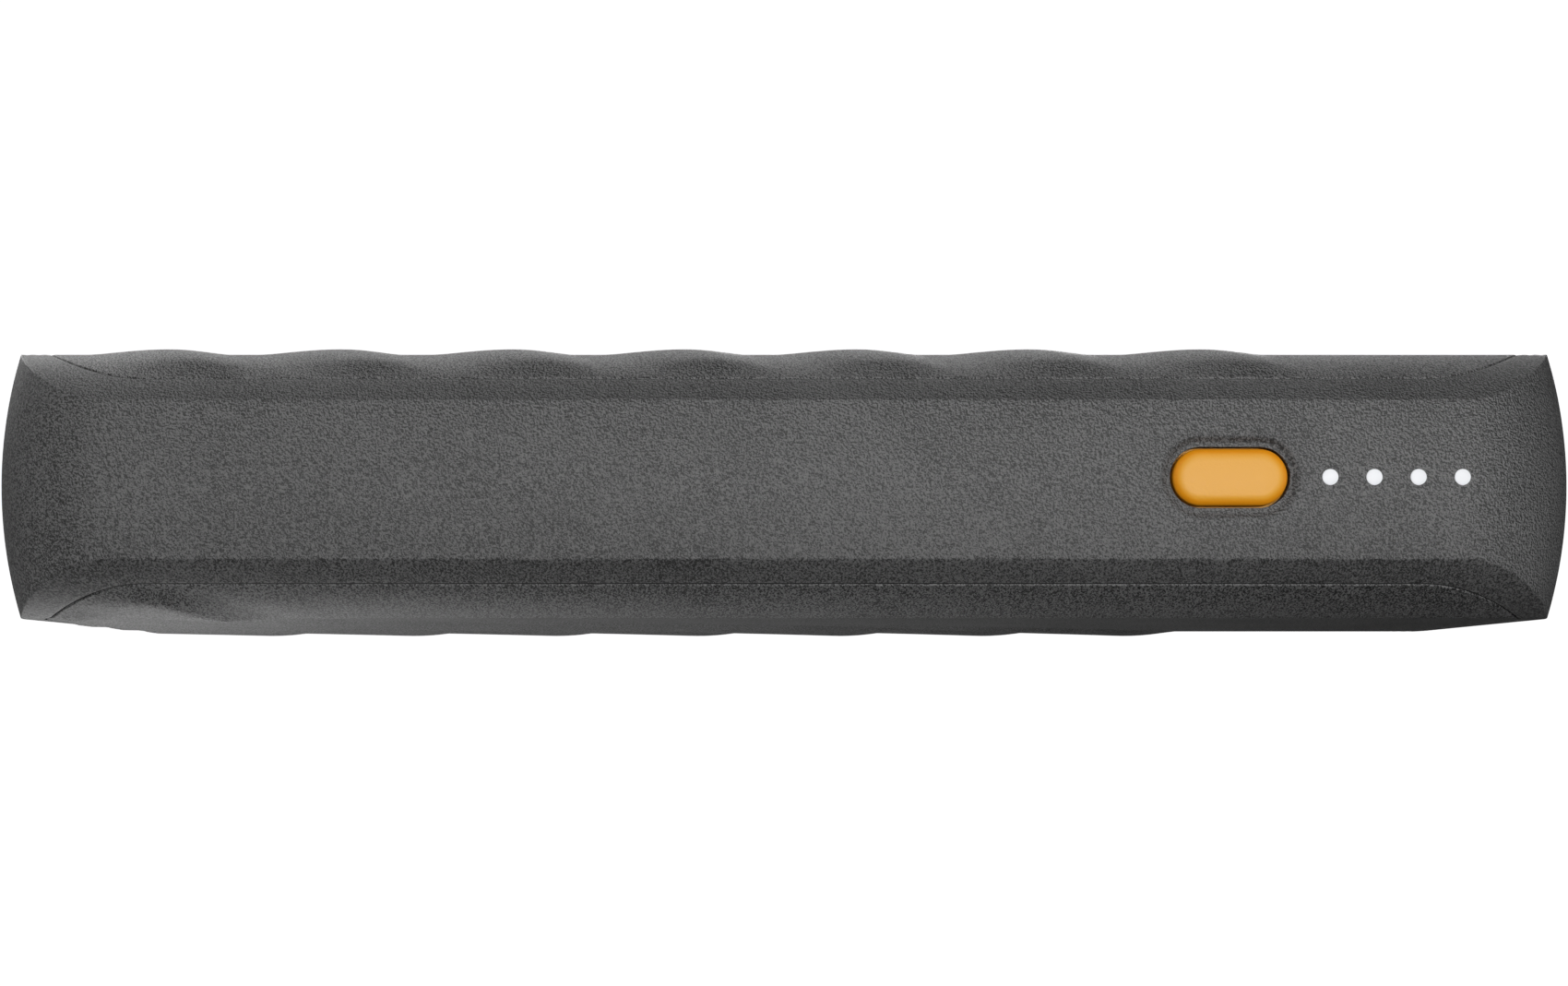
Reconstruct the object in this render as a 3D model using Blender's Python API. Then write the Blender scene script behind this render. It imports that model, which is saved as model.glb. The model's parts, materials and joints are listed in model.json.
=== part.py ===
"""A rugged power bank: a ribbed two-cover casing around a middle frame, six round cells,
a charging board with three sockets at one end, and a push button with four light points.

Metres, +Z up. The body lies flat on its bottom cover. +X points to the socket end, and the
button and the light points are on the long side that faces -Y. The empty "body_centre" sits
in the middle of the casing, and every piece hangs from it, so each place below is measured
from the middle of the body.
"""

import math

import bmesh
import bpy
from mathutils import Matrix, Vector

MM = 0.001

# Driving dimensions of the casing
BODY_LENGTH = 185.3 * MM
BODY_WIDTH = 82.5 * MM
BODY_THICKNESS = 31.0 * MM  # between the flat faces, without the ribs
CORNER_RADIUS = 15.0 * MM
WALL_BULGE_RADIUS = 56.0 * MM  # the walls bow outwards between top and bottom
WALL = 2.4 * MM
COVER_WALL = 2.1 * MM

# The crown: the curved shoulder along both long sides of each flat face
CROWN_WIDTH = 10.5 * MM
CROWN_RADIUS = 19.6 * MM
CROWN_START_ANGLE = math.radians(16.0)

# The seam between each cover and the frame, and the step that the cover sits on
SEAM_SIDE_INSET = 3.5 * MM
SEAM_END_INSET = 4.05 * MM
SEAM_CORNER_RADIUS = 15.45 * MM
SEAM_GAP = 0.3 * MM
SKIRT_DEPTH = 6.0 * MM  # from the flat face down to the cover's lower rim
SHELF_THICKNESS = 2.0 * MM
SHELF_REACH = 2.2 * MM
HOOK_PLACES = (-0.67, -0.325, 0.13, 0.39, 0.715)  # shares of the half length
HOOK_WIDTH = 8.0 * MM
HOOK_LEG = 1.4 * MM
HOOK_BARB = 1.0 * MM
HOOK_BARB_HEIGHT = 1.2 * MM
HOOK_TOP_DEPTH = 2.9 * MM  # from the flat face down to the top of the hook's leg

# The ribs: curved ridges that start on one long side of each cover
RIB_HEIGHT = 0.65 * MM
RIB_COUNT = 7
RIB_PITCH = 20.2 * MM
RIB_FIRST_OFFSET = 12.7 * MM  # from the plain end to where the first rib starts, along the seam
RIB_SLOPE = 0.75  # sideways shift for each step across, at the start
RIB_SLOPE_GAIN = 11.5  # added slope for each metre across
RIB_FADE = 3.0 * MM
RIB_FOOT = 0.20  # share of the pitch that stays flat before each ridge
RIB_CREST = 0.66
RIB_FAR_CREST = 0.60
RIB_RISE_POWER = 1.2  # exponents of the ridge's section, where it starts
RIB_FALL_POWER = 1.6
RIB_FAR_RISE_POWER = 1.4  # and far across
RIB_FAR_FALL_POWER = 1.6
PLAIN_START = 18.0 * MM
PLAIN_END = 70.0 * MM
PLAIN_OFFSET_NEAR = 17.5 * MM  # from the socket end to where the ribs have faded out
PLAIN_OFFSET_FAR = 62.5 * MM
PLAIN_FADE = 16.0 * MM

# Button, light points and the small board behind them
BUTTON_OFFSET = 42.05 * MM  # from the socket end
CONTROLS_Z = 0.2 * MM
BUTTON_LENGTH = 13.1 * MM
BUTTON_HEIGHT = 6.45 * MM
BUTTON_PROUD = 0.2 * MM
BUTTON_GAP = 0.3 * MM
BUTTON_TRAVEL = 0.5 * MM
BUTTON_FLANGE = 0.8 * MM
BUTTON_FLANGE_REACH = 1.1 * MM
BUTTON_ROLL = (  # the cap's rolled edge: how far behind its face, and how far in from its outline
    (0.0, 1.7 * MM),
    (0.06 * MM, 1.0 * MM),
    (0.28 * MM, 0.35 * MM),
    (0.75 * MM, 0.0),
)
DISH_DEPTH = 0.5 * MM
DISH_WIDTH = 1.3 * MM
LIGHT_OFFSET = 30.75 * MM  # from the socket end to the first light point
LIGHT_PITCH = 5.0 * MM
LIGHT_COUNT = 4
LIGHT_RADIUS = 0.9 * MM
LIGHT_GAP = 0.15 * MM
LIGHT_BAR = 1.2 * MM
SWITCH_BODY = 1.5 * MM
SWITCH_SIZE = 4.5 * MM
SWITCH_STEM = 0.9 * MM
SMALL_BOARD = 1.0 * MM
SMALL_BOARD_START_OFFSET = 52.7 * MM
SMALL_BOARD_END_OFFSET = 10.5 * MM
SMALL_BOARD_HEIGHT = 9.0 * MM
HEADER_OFFSET = 9.0 * MM  # from the small board's end to the header's middle
HEADER_LENGTH = 8.0 * MM
HEADER_DEPTH = 3.6 * MM
HEADER_HEIGHT = 2.4 * MM

# Cells
CELL_RADIUS = 10.5 * MM
CELL_LENGTH = 70.0 * MM
CELL_SPACE = 1.0 * MM
CELL_END_SPACE = 9.2 * MM  # from the plain end to the first row
CELL_ROW_GAP = 1.6 * MM
BUS_BAR = 0.3 * MM
BUS_BAR_REACH = 4.0 * MM  # past the axes of the outer cells
BUS_BAR_HEIGHT = 7.0 * MM
BRACKET_THICKNESS = 4.0 * MM
BRACKET_INSET = 6.0 * MM
BRACKET_RIM = 0.9 * MM
BRACKET_BEVEL_WIDTH = 6.0 * MM
BRACKET_BEVEL_HEIGHT = 6.5 * MM
PAD_SPACE = 1.0 * MM  # between each foam pad and the brackets
PAD_SIDE_SPACE = 2.0 * MM
LEAD_RADIUS = 0.8 * MM
THIN_LEAD_RADIUS = 0.5 * MM

# Main board and its sockets
BOARD_CELL_SPACE = 3.2 * MM
BOARD_END_SPACE = 4.1 * MM
BOARD_SIDE_SPACE = 8.65 * MM
BOARD_THICKNESS = 1.6 * MM
BOARD_CHAMFER = 8.0 * MM
SOCKET_INSET = 0.5 * MM
SOCKET_PITCH = 17.0 * MM
USB_A = {
    "width": 13.1 * MM,
    "height": 5.7 * MM,
    "depth": 14.0 * MM,
    "radius": 0.4 * MM,
    "tongue_width": 11.2 * MM,
    "tongue_low": 0.55 * MM,
    "tongue_high": 2.0 * MM,
    "tongue_inset": 1.6 * MM,  # from the shell's mouth
    "block_depth": 4.2 * MM,
    "block_trim": 0.0,
}
USB_C = {
    "width": 8.94 * MM,
    "height": 3.2 * MM,
    "depth": 8.0 * MM,
    "radius": 1.55 * MM,
    "tongue_width": 6.7 * MM,
    "tongue_low": -0.35 * MM,
    "tongue_high": 0.35 * MM,
    "tongue_inset": 0.9 * MM,
    "block_depth": 1.6 * MM,
    "block_trim": 1.16 * MM,  # off each side, clear of the rounded ends
}
SHEET_METAL = 0.3 * MM
SOCKET_GAP = 0.25 * MM
SCREW_RADIUS = 0.85 * MM
SCREW_HEAD_RADIUS = 1.7 * MM
SCREW_LENGTH = 5.0 * MM
BOSS_RADIUS = 2.6 * MM
BOSS_SIDE_SPACE = 4.8 * MM  # from the board's long edge to the pillars
BOSS_CELL_SPACE = 4.0 * MM
BOSS_END_SPACE = 9.4 * MM

# Parts on the main board, placed from the edge beside the cells
TALL_PARTS_X = 9.5 * MM
INDUCTOR_SIZE = 6.8 * MM
INDUCTOR_HEIGHT = 4.2 * MM
INDUCTOR_BEVEL = 0.6 * MM
INDUCTOR_YS = (-13.5 * MM, 19.5 * MM)
CAN_RADIUS = 3.1 * MM
CAN_HEIGHT = 7.6 * MM
CAN_YS = (0.0, -22.5 * MM)
CHIP_HEIGHT = 0.9 * MM
CHIPS = {
    "charge_controller": {"x": 16.0 * MM, "y": -7.6 * MM, "size": 4.0 * MM},
    "port_controller": {"x": 18.0 * MM, "y": 7.2 * MM, "size": 4.4 * MM},
    "protection_chip": {"x": 3.5 * MM, "y": 16.0 * MM, "size": 3.0 * MM},
}

FIT = 0.3 * MM  # between pieces that rest on each other
SOLDER = 0.1 * MM  # under parts soldered to a board
FAR = 20.0 * MM  # how far a cutter runs past what it cuts

HALF_LENGTH = BODY_LENGTH / 2
HALF_WIDTH = BODY_WIDTH / 2
HALF_THICKNESS = BODY_THICKNESS / 2
SKIRT_FOOT = HALF_THICKNESS - SKIRT_DEPTH
HOOK_TOP = HALF_THICKNESS - HOOK_TOP_DEPTH
RIB_FIRST_CREASE = RIB_FIRST_OFFSET - HALF_LENGTH
PLAIN_LIMIT_NEAR = HALF_LENGTH - PLAIN_OFFSET_NEAR
PLAIN_LIMIT_FAR = HALF_LENGTH - PLAIN_OFFSET_FAR
BUTTON_X = HALF_LENGTH - BUTTON_OFFSET
LIGHT_X = HALF_LENGTH - LIGHT_OFFSET
SMALL_BOARD_START = HALF_LENGTH - SMALL_BOARD_START_OFFSET
SMALL_BOARD_END = HALF_LENGTH - SMALL_BOARD_END_OFFSET
CELL_PITCH = 2 * CELL_RADIUS + CELL_SPACE
CELL_ROW_START = CELL_END_SPACE - HALF_LENGTH
BOARD_START = CELL_ROW_START + 2 * CELL_LENGTH + CELL_ROW_GAP + BOARD_CELL_SPACE
BOARD_END = HALF_LENGTH - BOARD_END_SPACE
BOARD_HALF_WIDTH = HALF_WIDTH - BOARD_SIDE_SPACE
SEAM_HALF_LENGTH = HALF_LENGTH - SEAM_END_INSET
SEAM_HALF_WIDTH = HALF_WIDTH - SEAM_SIDE_INSET
CAVITY_HALF_LENGTH = HALF_LENGTH - WALL
CAVITY_HALF_WIDTH = HALF_WIDTH - WALL
SHELF_TOP = SKIRT_FOOT - FIT
SHELF_FOOT = SHELF_TOP - SHELF_THICKNESS
SHELF_HALF_LENGTH = SEAM_HALF_LENGTH - SHELF_REACH
SHELF_HALF_WIDTH = SEAM_HALF_WIDTH - SHELF_REACH
BRACKET_HALF_WIDTH = CELL_PITCH + CELL_RADIUS + FIT + BRACKET_RIM
INNER_FACE_Y = -CAVITY_HALF_WIDTH  # inside of the wall that holds the button
SWITCH_TOP_Y = INNER_FACE_Y + FIT + BUTTON_FLANGE + FIT + BUTTON_TRAVEL + FIT
SMALL_BOARD_Y = SWITCH_TOP_Y + SWITCH_BODY + SOLDER


# ---------------------------------------------------------------- tools


def clear_scene():
    for obj in list(bpy.data.objects):
        bpy.data.objects.remove(obj)


def material(name, colour, roughness, metallic=0.0):
    made = bpy.data.materials.new(name)
    made.use_nodes = True
    shader = made.node_tree.nodes["Principled BSDF"]
    shader.inputs["Base Color"].default_value = (*colour, 1.0)
    shader.inputs["Roughness"].default_value = roughness
    shader.inputs["Metallic"].default_value = metallic
    return made


def make_object(name, mesh_maker, finish, centre, place=(0, 0, 0)):
    """Makes a mesh object from a filled bmesh, hangs it from the body's centre and smooths it."""
    mesh = bpy.data.meshes.new(name)
    bmesh.ops.recalc_face_normals(mesh_maker, faces=mesh_maker.faces)
    mesh_maker.to_mesh(mesh)
    mesh_maker.free()
    obj = bpy.data.objects.new(name, mesh)
    bpy.context.scene.collection.objects.link(obj)
    obj.parent = centre
    obj.location = place
    if finish is not None:
        mesh.materials.append(finish)
    mesh.shade_smooth()
    mesh.set_sharp_from_angle(angle=math.radians(30))
    return obj


def as_cutter(obj):
    obj.hide_render = True
    obj.display_type = "WIRE"
    return obj


def boolean(obj, other, operation):
    modifier = obj.modifiers.new(operation.lower() + "_" + other.name, "BOOLEAN")
    modifier.operation = operation
    modifier.solver = "EXACT"
    modifier.object = as_cutter(other)


def stack(rings):
    """A closed bmesh skinned over rings of points, all with the same count, capped at both ends."""
    maker = bmesh.new()
    loops = [[maker.verts.new(point) for point in ring] for ring in rings]
    count = len(rings[0])
    for lower, upper in zip(loops, loops[1:]):
        for i in range(count):
            j = (i + 1) % count
            maker.faces.new((lower[i], lower[j], upper[j], upper[i]))
    maker.faces.new(list(reversed(loops[0])))
    maker.faces.new(loops[-1])
    return maker


def add_box(maker, low, high):
    size = Vector(high) - Vector(low)
    middle = (Vector(high) + Vector(low)) / 2
    bmesh.ops.create_cube(maker, size=1.0, matrix=Matrix.Translation(middle) @ Matrix.Diagonal((*size, 1.0)))


def boxes(*corners):
    """A bmesh of separate boxes, each given by its lowest and highest corner."""
    maker = bmesh.new()
    for low, high in corners:
        add_box(maker, low, high)
    return maker


def rounded_rectangle(half_length, half_width, radius, steps=8):
    """Points around a rectangle with round corners, counter-clockwise, in its own plane."""
    points = []
    for quarter, (sx, sy) in enumerate(((1, 1), (-1, 1), (-1, -1), (1, -1))):
        for step in range(steps + 1):
            angle = math.pi / 2 * (quarter + step / steps)
            points.append(
                (
                    sx * (half_length - radius) + radius * math.cos(angle),
                    sy * (half_width - radius) + radius * math.sin(angle),
                )
            )
    return points


def ring_z(half_length, half_width, radius, z, steps=8):
    return [(x, y, z) for x, y in rounded_rectangle(half_length, half_width, radius, steps)]


def ring_y(half_length, half_height, radius, y, steps=6):
    return [(x, y, z) for x, z in rounded_rectangle(half_length, half_height, radius, steps)]


def ring_x(half_width, half_height, radius, x, steps=4):
    return [(x, y, z) for y, z in rounded_rectangle(half_width, half_height, radius, steps)]


def disc(radius, height, axis, centre=(0, 0, 0), sides=24):
    """A ring of points around an axis, at a height along it."""
    cx, cy, cz = centre
    points = []
    for i in range(sides):
        a = 2 * math.pi * i / sides
        p, q = radius * math.cos(a), radius * math.sin(a)
        points.append(
            {
                "X": (cx + height, cy + p, cz + q),
                "Y": (cx + q, cy + height, cz + p),
                "Z": (cx + p, cy + q, cz + height),
            }[axis]
        )
    return points


def turned(profile, axis, centre=(0, 0, 0), sides=24):
    """A closed bmesh turned around an axis from (radius, height) pairs."""
    return stack([disc(radius, height, axis, centre, sides) for radius, height in profile])


def join(makers):
    """One bmesh that holds several closed ones as separate bodies."""
    whole = bmesh.new()
    for maker in makers:
        mesh = bpy.data.meshes.new("join")
        bmesh.ops.recalc_face_normals(maker, faces=maker.faces)
        maker.to_mesh(mesh)
        maker.free()
        whole.from_mesh(mesh)
        bpy.data.meshes.remove(mesh)
    return whole


def smooth_step(value):
    value = min(1.0, max(0.0, value))
    return value * value * (3 - 2 * value)


# ---------------------------------------------------------------- outer form


def wall_inset(z):
    """How far the bowed wall has come in at a height from the middle plane."""
    return WALL_BULGE_RADIUS - math.sqrt(WALL_BULGE_RADIUS**2 - z**2)


def crown_drop(depth):
    """How far the shoulder lies under the flat face, at a depth from the long side."""
    if depth >= CROWN_WIDTH:
        return 0.0
    across = (CROWN_WIDTH - depth) / CROWN_RADIUS + math.sin(CROWN_START_ANGLE)
    return CROWN_RADIUS * (math.cos(CROWN_START_ANGLE) - math.sqrt(1 - across**2))


def body_blank(name, centre):
    """The full outer form: bowed walls, with both faces shouldered along the long sides."""
    levels = 10
    top = HALF_THICKNESS + 0.5 * MM
    rings = []
    for i in range(levels + 1):
        z = -top + 2 * top * i / levels
        inset = wall_inset(z)
        rings.append(
            ring_z(HALF_LENGTH - inset, HALF_WIDTH - inset, CORNER_RADIUS - inset, z, steps=8)
        )
    blank = make_object(name, stack(rings), None, centre)
    steps = 6
    outside = -2.0 * MM
    profile = []
    for i in range(steps + 1):
        depth = CROWN_WIDTH + (outside - CROWN_WIDTH) * i / steps
        profile.append((HALF_WIDTH - depth, HALF_THICKNESS - crown_drop(depth)))
    half = profile + [(y, -z) for y, z in reversed(profile)]
    section = half + [(-y, -z) for y, z in half]
    ends = [[(x, y, z) for y, z in section] for x in (-HALF_LENGTH - FAR, HALF_LENGTH + FAR)]
    boolean(blank, make_object(name + "_crown", stack(ends), None, centre), "INTERSECT")
    return blank


def seam_distance(x, y):
    """How far a point lies inside the cover's outline."""
    dx = abs(x) - (SEAM_HALF_LENGTH - SEAM_CORNER_RADIUS)
    dy = abs(y) - (SEAM_HALF_WIDTH - SEAM_CORNER_RADIUS)
    if dx > 0 and dy > 0:
        return SEAM_CORNER_RADIUS - math.hypot(dx, dy)
    return SEAM_CORNER_RADIUS - max(dx, dy)


def rib_shift(across):
    """How far a ridge has moved back along the body, at a distance across from where it starts."""
    return (RIB_SLOPE + RIB_SLOPE_GAIN * across / 2) * across


def rib_wave(phase, share_across):
    """The ridge's section: a round crest and a sharp crease, turning into a sharp crest far across."""
    if phase < RIB_FOOT:
        near = 0.0
    elif phase < RIB_CREST:
        near = math.sin(math.pi / 2 * (phase - RIB_FOOT) / (RIB_CREST - RIB_FOOT)) ** RIB_RISE_POWER
    else:
        near = math.cos(math.pi / 2 * (phase - RIB_CREST) / (1 - RIB_CREST)) ** RIB_FALL_POWER
    if phase < RIB_FAR_CREST:
        far = (phase / RIB_FAR_CREST) ** RIB_FAR_RISE_POWER
    else:
        far = ((1 - phase) / (1 - RIB_FAR_CREST)) ** RIB_FAR_FALL_POWER
    blend = smooth_step(share_across)
    return near * (1 - blend) + far * blend


def rib_height(x, y):
    """Height of the ribs over the smooth cover. They start on the side that faces -Y."""
    across = y + SEAM_HALF_WIDTH
    along = x + rib_shift(max(0.0, across))
    turns = (along - RIB_FIRST_CREASE) / RIB_PITCH
    if turns <= 0 or turns >= RIB_COUNT:
        return 0.0
    wave = rib_wave(turns % 1.0, across / (2 * SEAM_HALF_WIDTH))
    edge = smooth_step(seam_distance(x, y) / RIB_FADE)
    share = min(1.0, max(0.0, (across - PLAIN_START) / (PLAIN_END - PLAIN_START)))
    limit = PLAIN_LIMIT_NEAR + (PLAIN_LIMIT_FAR - PLAIN_LIMIT_NEAR) * share
    plain = smooth_step((limit - along) / PLAIN_FADE)
    return RIB_HEIGHT * wave * edge * plain


# ---------------------------------------------------------------- casing


def cover_block(name, centre):
    """The cover's outer form as one block, on a grid whose columns follow the ridges."""
    overhang = 0.6 * MM
    rim = HALF_WIDTH - SEAM_HALF_WIDTH - overhang
    full = SEAM_SIDE_INSET + RIB_FADE
    depths = [rim, SEAM_SIDE_INSET + RIB_FADE / 2, full, (full + CROWN_WIDTH) / 2, CROWN_WIDTH]
    rows = [-(HALF_WIDTH - depth) for depth in depths]
    inner_rows = 8
    flat = HALF_WIDTH - CROWN_WIDTH
    rows += [-flat + 2 * flat * i / inner_rows for i in range(1, inner_rows)]
    rows += [HALF_WIDTH - depth for depth in reversed(depths)]
    phases = (0.0, RIB_FOOT, (RIB_FOOT + RIB_CREST) / 2, RIB_CREST, (1 + RIB_CREST) / 2)
    reach = SEAM_HALF_LENGTH + overhang
    shift_end = rib_shift(2 * SEAM_HALF_WIDTH + overhang)
    first = math.floor((-reach - RIB_FIRST_CREASE) / RIB_PITCH) - 1
    last = math.ceil((reach + shift_end - RIB_FIRST_CREASE) / RIB_PITCH) + 1
    columns = [
        RIB_FIRST_CREASE + RIB_PITCH * (turn + phase)
        for turn in range(first, last)
        for phase in phases
    ]
    maker = bmesh.new()
    top, foot = [], []
    for y in rows:
        back = rib_shift(max(0.0, y + SEAM_HALF_WIDTH))
        top_row, foot_row = [], []
        for along in columns:
            x = along - back
            surface = HALF_THICKNESS - crown_drop(HALF_WIDTH - abs(y)) + rib_height(x, y)
            top_row.append(maker.verts.new((x, y, surface)))
            foot_row.append(maker.verts.new((x, y, SKIRT_FOOT)))
        top.append(top_row)
        foot.append(foot_row)
    for r in range(len(rows) - 1):
        for c in range(len(columns) - 1):
            maker.faces.new((top[r][c], top[r][c + 1], top[r + 1][c + 1], top[r + 1][c]))
    border = [(0, c) for c in range(len(columns) - 1)]
    border += [(r, len(columns) - 1) for r in range(len(rows) - 1)]
    border += [(len(rows) - 1, c) for c in range(len(columns) - 1, 0, -1)]
    border += [(r, 0) for r in range(len(rows) - 1, 0, -1)]
    for (r0, c0), (r1, c1) in zip(border, border[1:] + border[:1]):
        maker.faces.new((foot[r0][c0], foot[r1][c1], top[r1][c1], top[r0][c0]))
    maker.faces.new([foot[r][c] for r, c in reversed(border)])
    on_border = {foot[r][c] for r, c in border}
    spare = [vert for row in foot for vert in row if vert not in on_border]
    bmesh.ops.delete(maker, geom=spare, context="VERTS")
    return make_object(name, maker, None, centre)


def add_snap_hooks(shell, holder):
    """Legs along both long sides, each with an outward barb that catches under the frame's shelf."""
    barb_top = SHELF_FOOT - FIT
    leg_foot = barb_top - HOOK_BARB_HEIGHT
    step = SKIRT_FOOT + FIT
    into_skirt = SHELF_REACH + FIT - COVER_WALL / 2
    outline = [
        (-HOOK_LEG, leg_foot),
        (0.0, leg_foot),
        (HOOK_BARB, barb_top - FIT),
        (HOOK_BARB, barb_top),
        (0.0, barb_top),
        (0.0, step),
        (into_skirt, step),
        (into_skirt, HOOK_TOP),
        (-HOOK_LEG, HOOK_TOP),
    ]
    outer = SHELF_HALF_WIDTH - FIT
    half = HOOK_WIDTH / 2
    for i, (share, side) in enumerate((share, side) for share in HOOK_PLACES for side in (-1, 1)):
        x = share * HALF_LENGTH
        rings = [[(end, side * (outer + u), z) for u, z in outline] for end in (x - half, x + half)]
        boolean(shell, make_object(f"{shell.name}_hook_{i}", stack(rings), None, holder), "UNION")


def cover(name, centre, finish, upside_down):
    """A thin ribbed cover. The bottom one is the same form turned over about its length."""
    holder = bpy.data.objects.new(name + "_frame", None)
    bpy.context.scene.collection.objects.link(holder)
    holder.parent = centre
    holder.rotation_euler = (math.pi if upside_down else 0.0, 0.0, 0.0)
    shell = cover_block(name, holder)
    shell.data.materials.append(finish)
    trim = SEAM_GAP / 2
    outline = (SEAM_HALF_LENGTH - trim, SEAM_HALF_WIDTH - trim, SEAM_CORNER_RADIUS - trim)
    rings = [ring_z(*outline, z) for z in (0.0, HALF_THICKNESS + FAR)]
    boolean(shell, make_object(name + "_outline", stack(rings), None, holder), "INTERSECT")
    length = outline[0] - COVER_WALL
    width = outline[1] - COVER_WALL
    radius = outline[2] - COVER_WALL
    ceiling = HALF_THICKNESS - COVER_WALL
    shoulder = HALF_THICKNESS - crown_drop(HALF_WIDTH - width) - COVER_WALL - FIT
    narrow = HALF_WIDTH - CROWN_WIDTH - FIT
    rings = [
        ring_z(length, width, radius, 0.0),
        ring_z(length, width, radius, shoulder),
        ring_z(length, narrow, radius * 0.6, ceiling),
    ]
    boolean(shell, make_object(name + "_hollow", stack(rings), None, holder), "DIFFERENCE")
    add_snap_hooks(shell, holder)
    return shell, holder


def boss_places():
    """Where the main board is screwed down, seen from above."""
    y = BOARD_HALF_WIDTH - BOSS_SIDE_SPACE
    xs = (BOARD_START + BOSS_CELL_SPACE, BOARD_END - BOSS_END_SPACE)
    return [(x, side * y) for x in xs for side in (-1, 1)]


def add_bosses(shell, holder):
    """Four screw pillars on the inside of the bottom cover, whose frame is upside down."""
    foot = HALF_THICKNESS - COVER_WALL / 2
    head = BOARD_THICKNESS / 2 + FIT
    for i, (x, y) in enumerate(boss_places()):
        pillar = turned([(BOSS_RADIUS, head), (BOSS_RADIUS, foot)], "Z", (x, -y, 0), sides=16)
        boolean(shell, make_object(f"boss_{i}", pillar, None, holder), "UNION")
    for i, (x, y) in enumerate(boss_places()):
        reach = head + SCREW_LENGTH
        hole = turned([(SCREW_RADIUS + FIT, 0.0), (SCREW_RADIUS + FIT, reach)], "Z", (x, -y, 0), sides=12)
        boolean(shell, make_object(f"boss_hole_{i}", hole, None, holder), "DIFFERENCE")


def button_rings(grow, levels, steps=6):
    """Stadium-shaped rings around the button's axis: (y, extra size) for each level."""
    rings = []
    for y, extra in levels:
        half_height = BUTTON_HEIGHT / 2 + grow + extra
        half_length = BUTTON_LENGTH / 2 + grow + extra
        rings.append(ring_y(half_length, half_height, half_height * 0.98, y, steps))
    return rings


def light_places():
    return [LIGHT_X + LIGHT_PITCH * i for i in range(LIGHT_COUNT)]


def socket_places():
    """Name, place across the body and form of each socket."""
    return [
        ("usb_a_near", -SOCKET_PITCH, USB_A),
        ("usb_c", 0.0, USB_C),
        ("usb_a_far", SOCKET_PITCH, USB_A),
    ]


def middle_frame(centre, finish):
    """The ring that forms the side walls, with a shelf for each cover and openings for the controls."""
    frame = body_blank("middle_frame", centre)
    frame.data.materials.append(finish)
    pocket = SEAM_GAP / 2
    outline = (SEAM_HALF_LENGTH + pocket, SEAM_HALF_WIDTH + pocket, SEAM_CORNER_RADIUS + pocket)
    wide = (CAVITY_HALF_LENGTH, CAVITY_HALF_WIDTH, CORNER_RADIUS - WALL)
    narrow = (SHELF_HALF_LENGTH, SHELF_HALF_WIDTH, SEAM_CORNER_RADIUS - SHELF_REACH)
    top = HALF_THICKNESS + FAR
    levels = [(outline, top), (outline, SHELF_TOP), (narrow, SHELF_TOP), (narrow, SHELF_FOOT)]
    levels.append((wide, SHELF_FOOT))
    levels = [(form, -z) for form, z in levels] + [(form, z) for form, z in reversed(levels)]
    cavity = stack([ring_z(*form, z) for form, z in levels])
    boolean(frame, make_object("frame_cavity", cavity, None, centre), "DIFFERENCE")

    add_board_rails(frame, centre)

    place = (BUTTON_X, 0, CONTROLS_Z)
    outside, inside = -HALF_WIDTH - FAR, INNER_FACE_Y + FIT
    opening = stack(button_rings(BUTTON_GAP, [(outside, 0.0), (inside, 0.0)]))
    boolean(frame, make_object("button_opening", opening, None, centre, place), "DIFFERENCE")
    slope = DISH_WIDTH / DISH_DEPTH
    levels = [(-HALF_WIDTH - DISH_DEPTH, DISH_WIDTH + DISH_DEPTH * slope), (-HALF_WIDTH + DISH_DEPTH, 0.0)]
    dish = stack(button_rings(BUTTON_GAP + FIT, levels))
    boolean(frame, make_object("button_dish", dish, None, centre, place), "DIFFERENCE")

    holes = join(
        [
            turned([(LIGHT_RADIUS + LIGHT_GAP, outside), (LIGHT_RADIUS + LIGHT_GAP, inside)], "Y", (x, 0, CONTROLS_Z), 12)
            for x in light_places()
        ]
    )
    boolean(frame, make_object("light_holes", holes, None, centre), "DIFFERENCE")
    for name, y, form in socket_places():
        rings = [
            ring_x(
                form["width"] / 2 + SOCKET_GAP,
                form["height"] / 2 + SOCKET_GAP,
                form["radius"] + SOCKET_GAP,
                x,
            )
            for x in (CAVITY_HALF_LENGTH - FIT, HALF_LENGTH + FAR)
        ]
        opening = make_object(name + "_opening", stack(rings), None, centre, (0, y, 0))
        boolean(frame, opening, "DIFFERENCE")
    return frame


def add_board_rails(frame, centre):
    """Two grooved posts on the inside of the near wall, which the small board slides into."""
    post = 1.6 * MM
    grip = 0.9 * MM
    back_wall = 0.9 * MM
    half = SMALL_BOARD_HEIGHT / 2
    back = SMALL_BOARD_Y + SMALL_BOARD + FIT + back_wall
    wall = INNER_FACE_Y - WALL / 2
    rails = []
    for edge, side in ((SMALL_BOARD_START, -1), (SMALL_BOARD_END, 1)):
        outer = sorted((edge - side * grip, edge + side * post))
        slot = sorted((edge - side * (grip + FIT), edge + side * FIT))
        rails.append((outer, slot))
    for i, (outer, slot) in enumerate(rails):
        post_box = boxes(((outer[0], wall, -half), (outer[1], back, half)))
        boolean(frame, make_object(f"rail_{i}", post_box, None, centre), "UNION")
        groove = boxes(
            (
                (slot[0], SMALL_BOARD_Y - FIT, -half - FIT),
                (slot[1], SMALL_BOARD_Y + SMALL_BOARD + FIT, half + FIT),
            )
        )
        boolean(frame, make_object(f"groove_{i}", groove, None, centre), "DIFFERENCE")


# ---------------------------------------------------------------- controls


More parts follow.
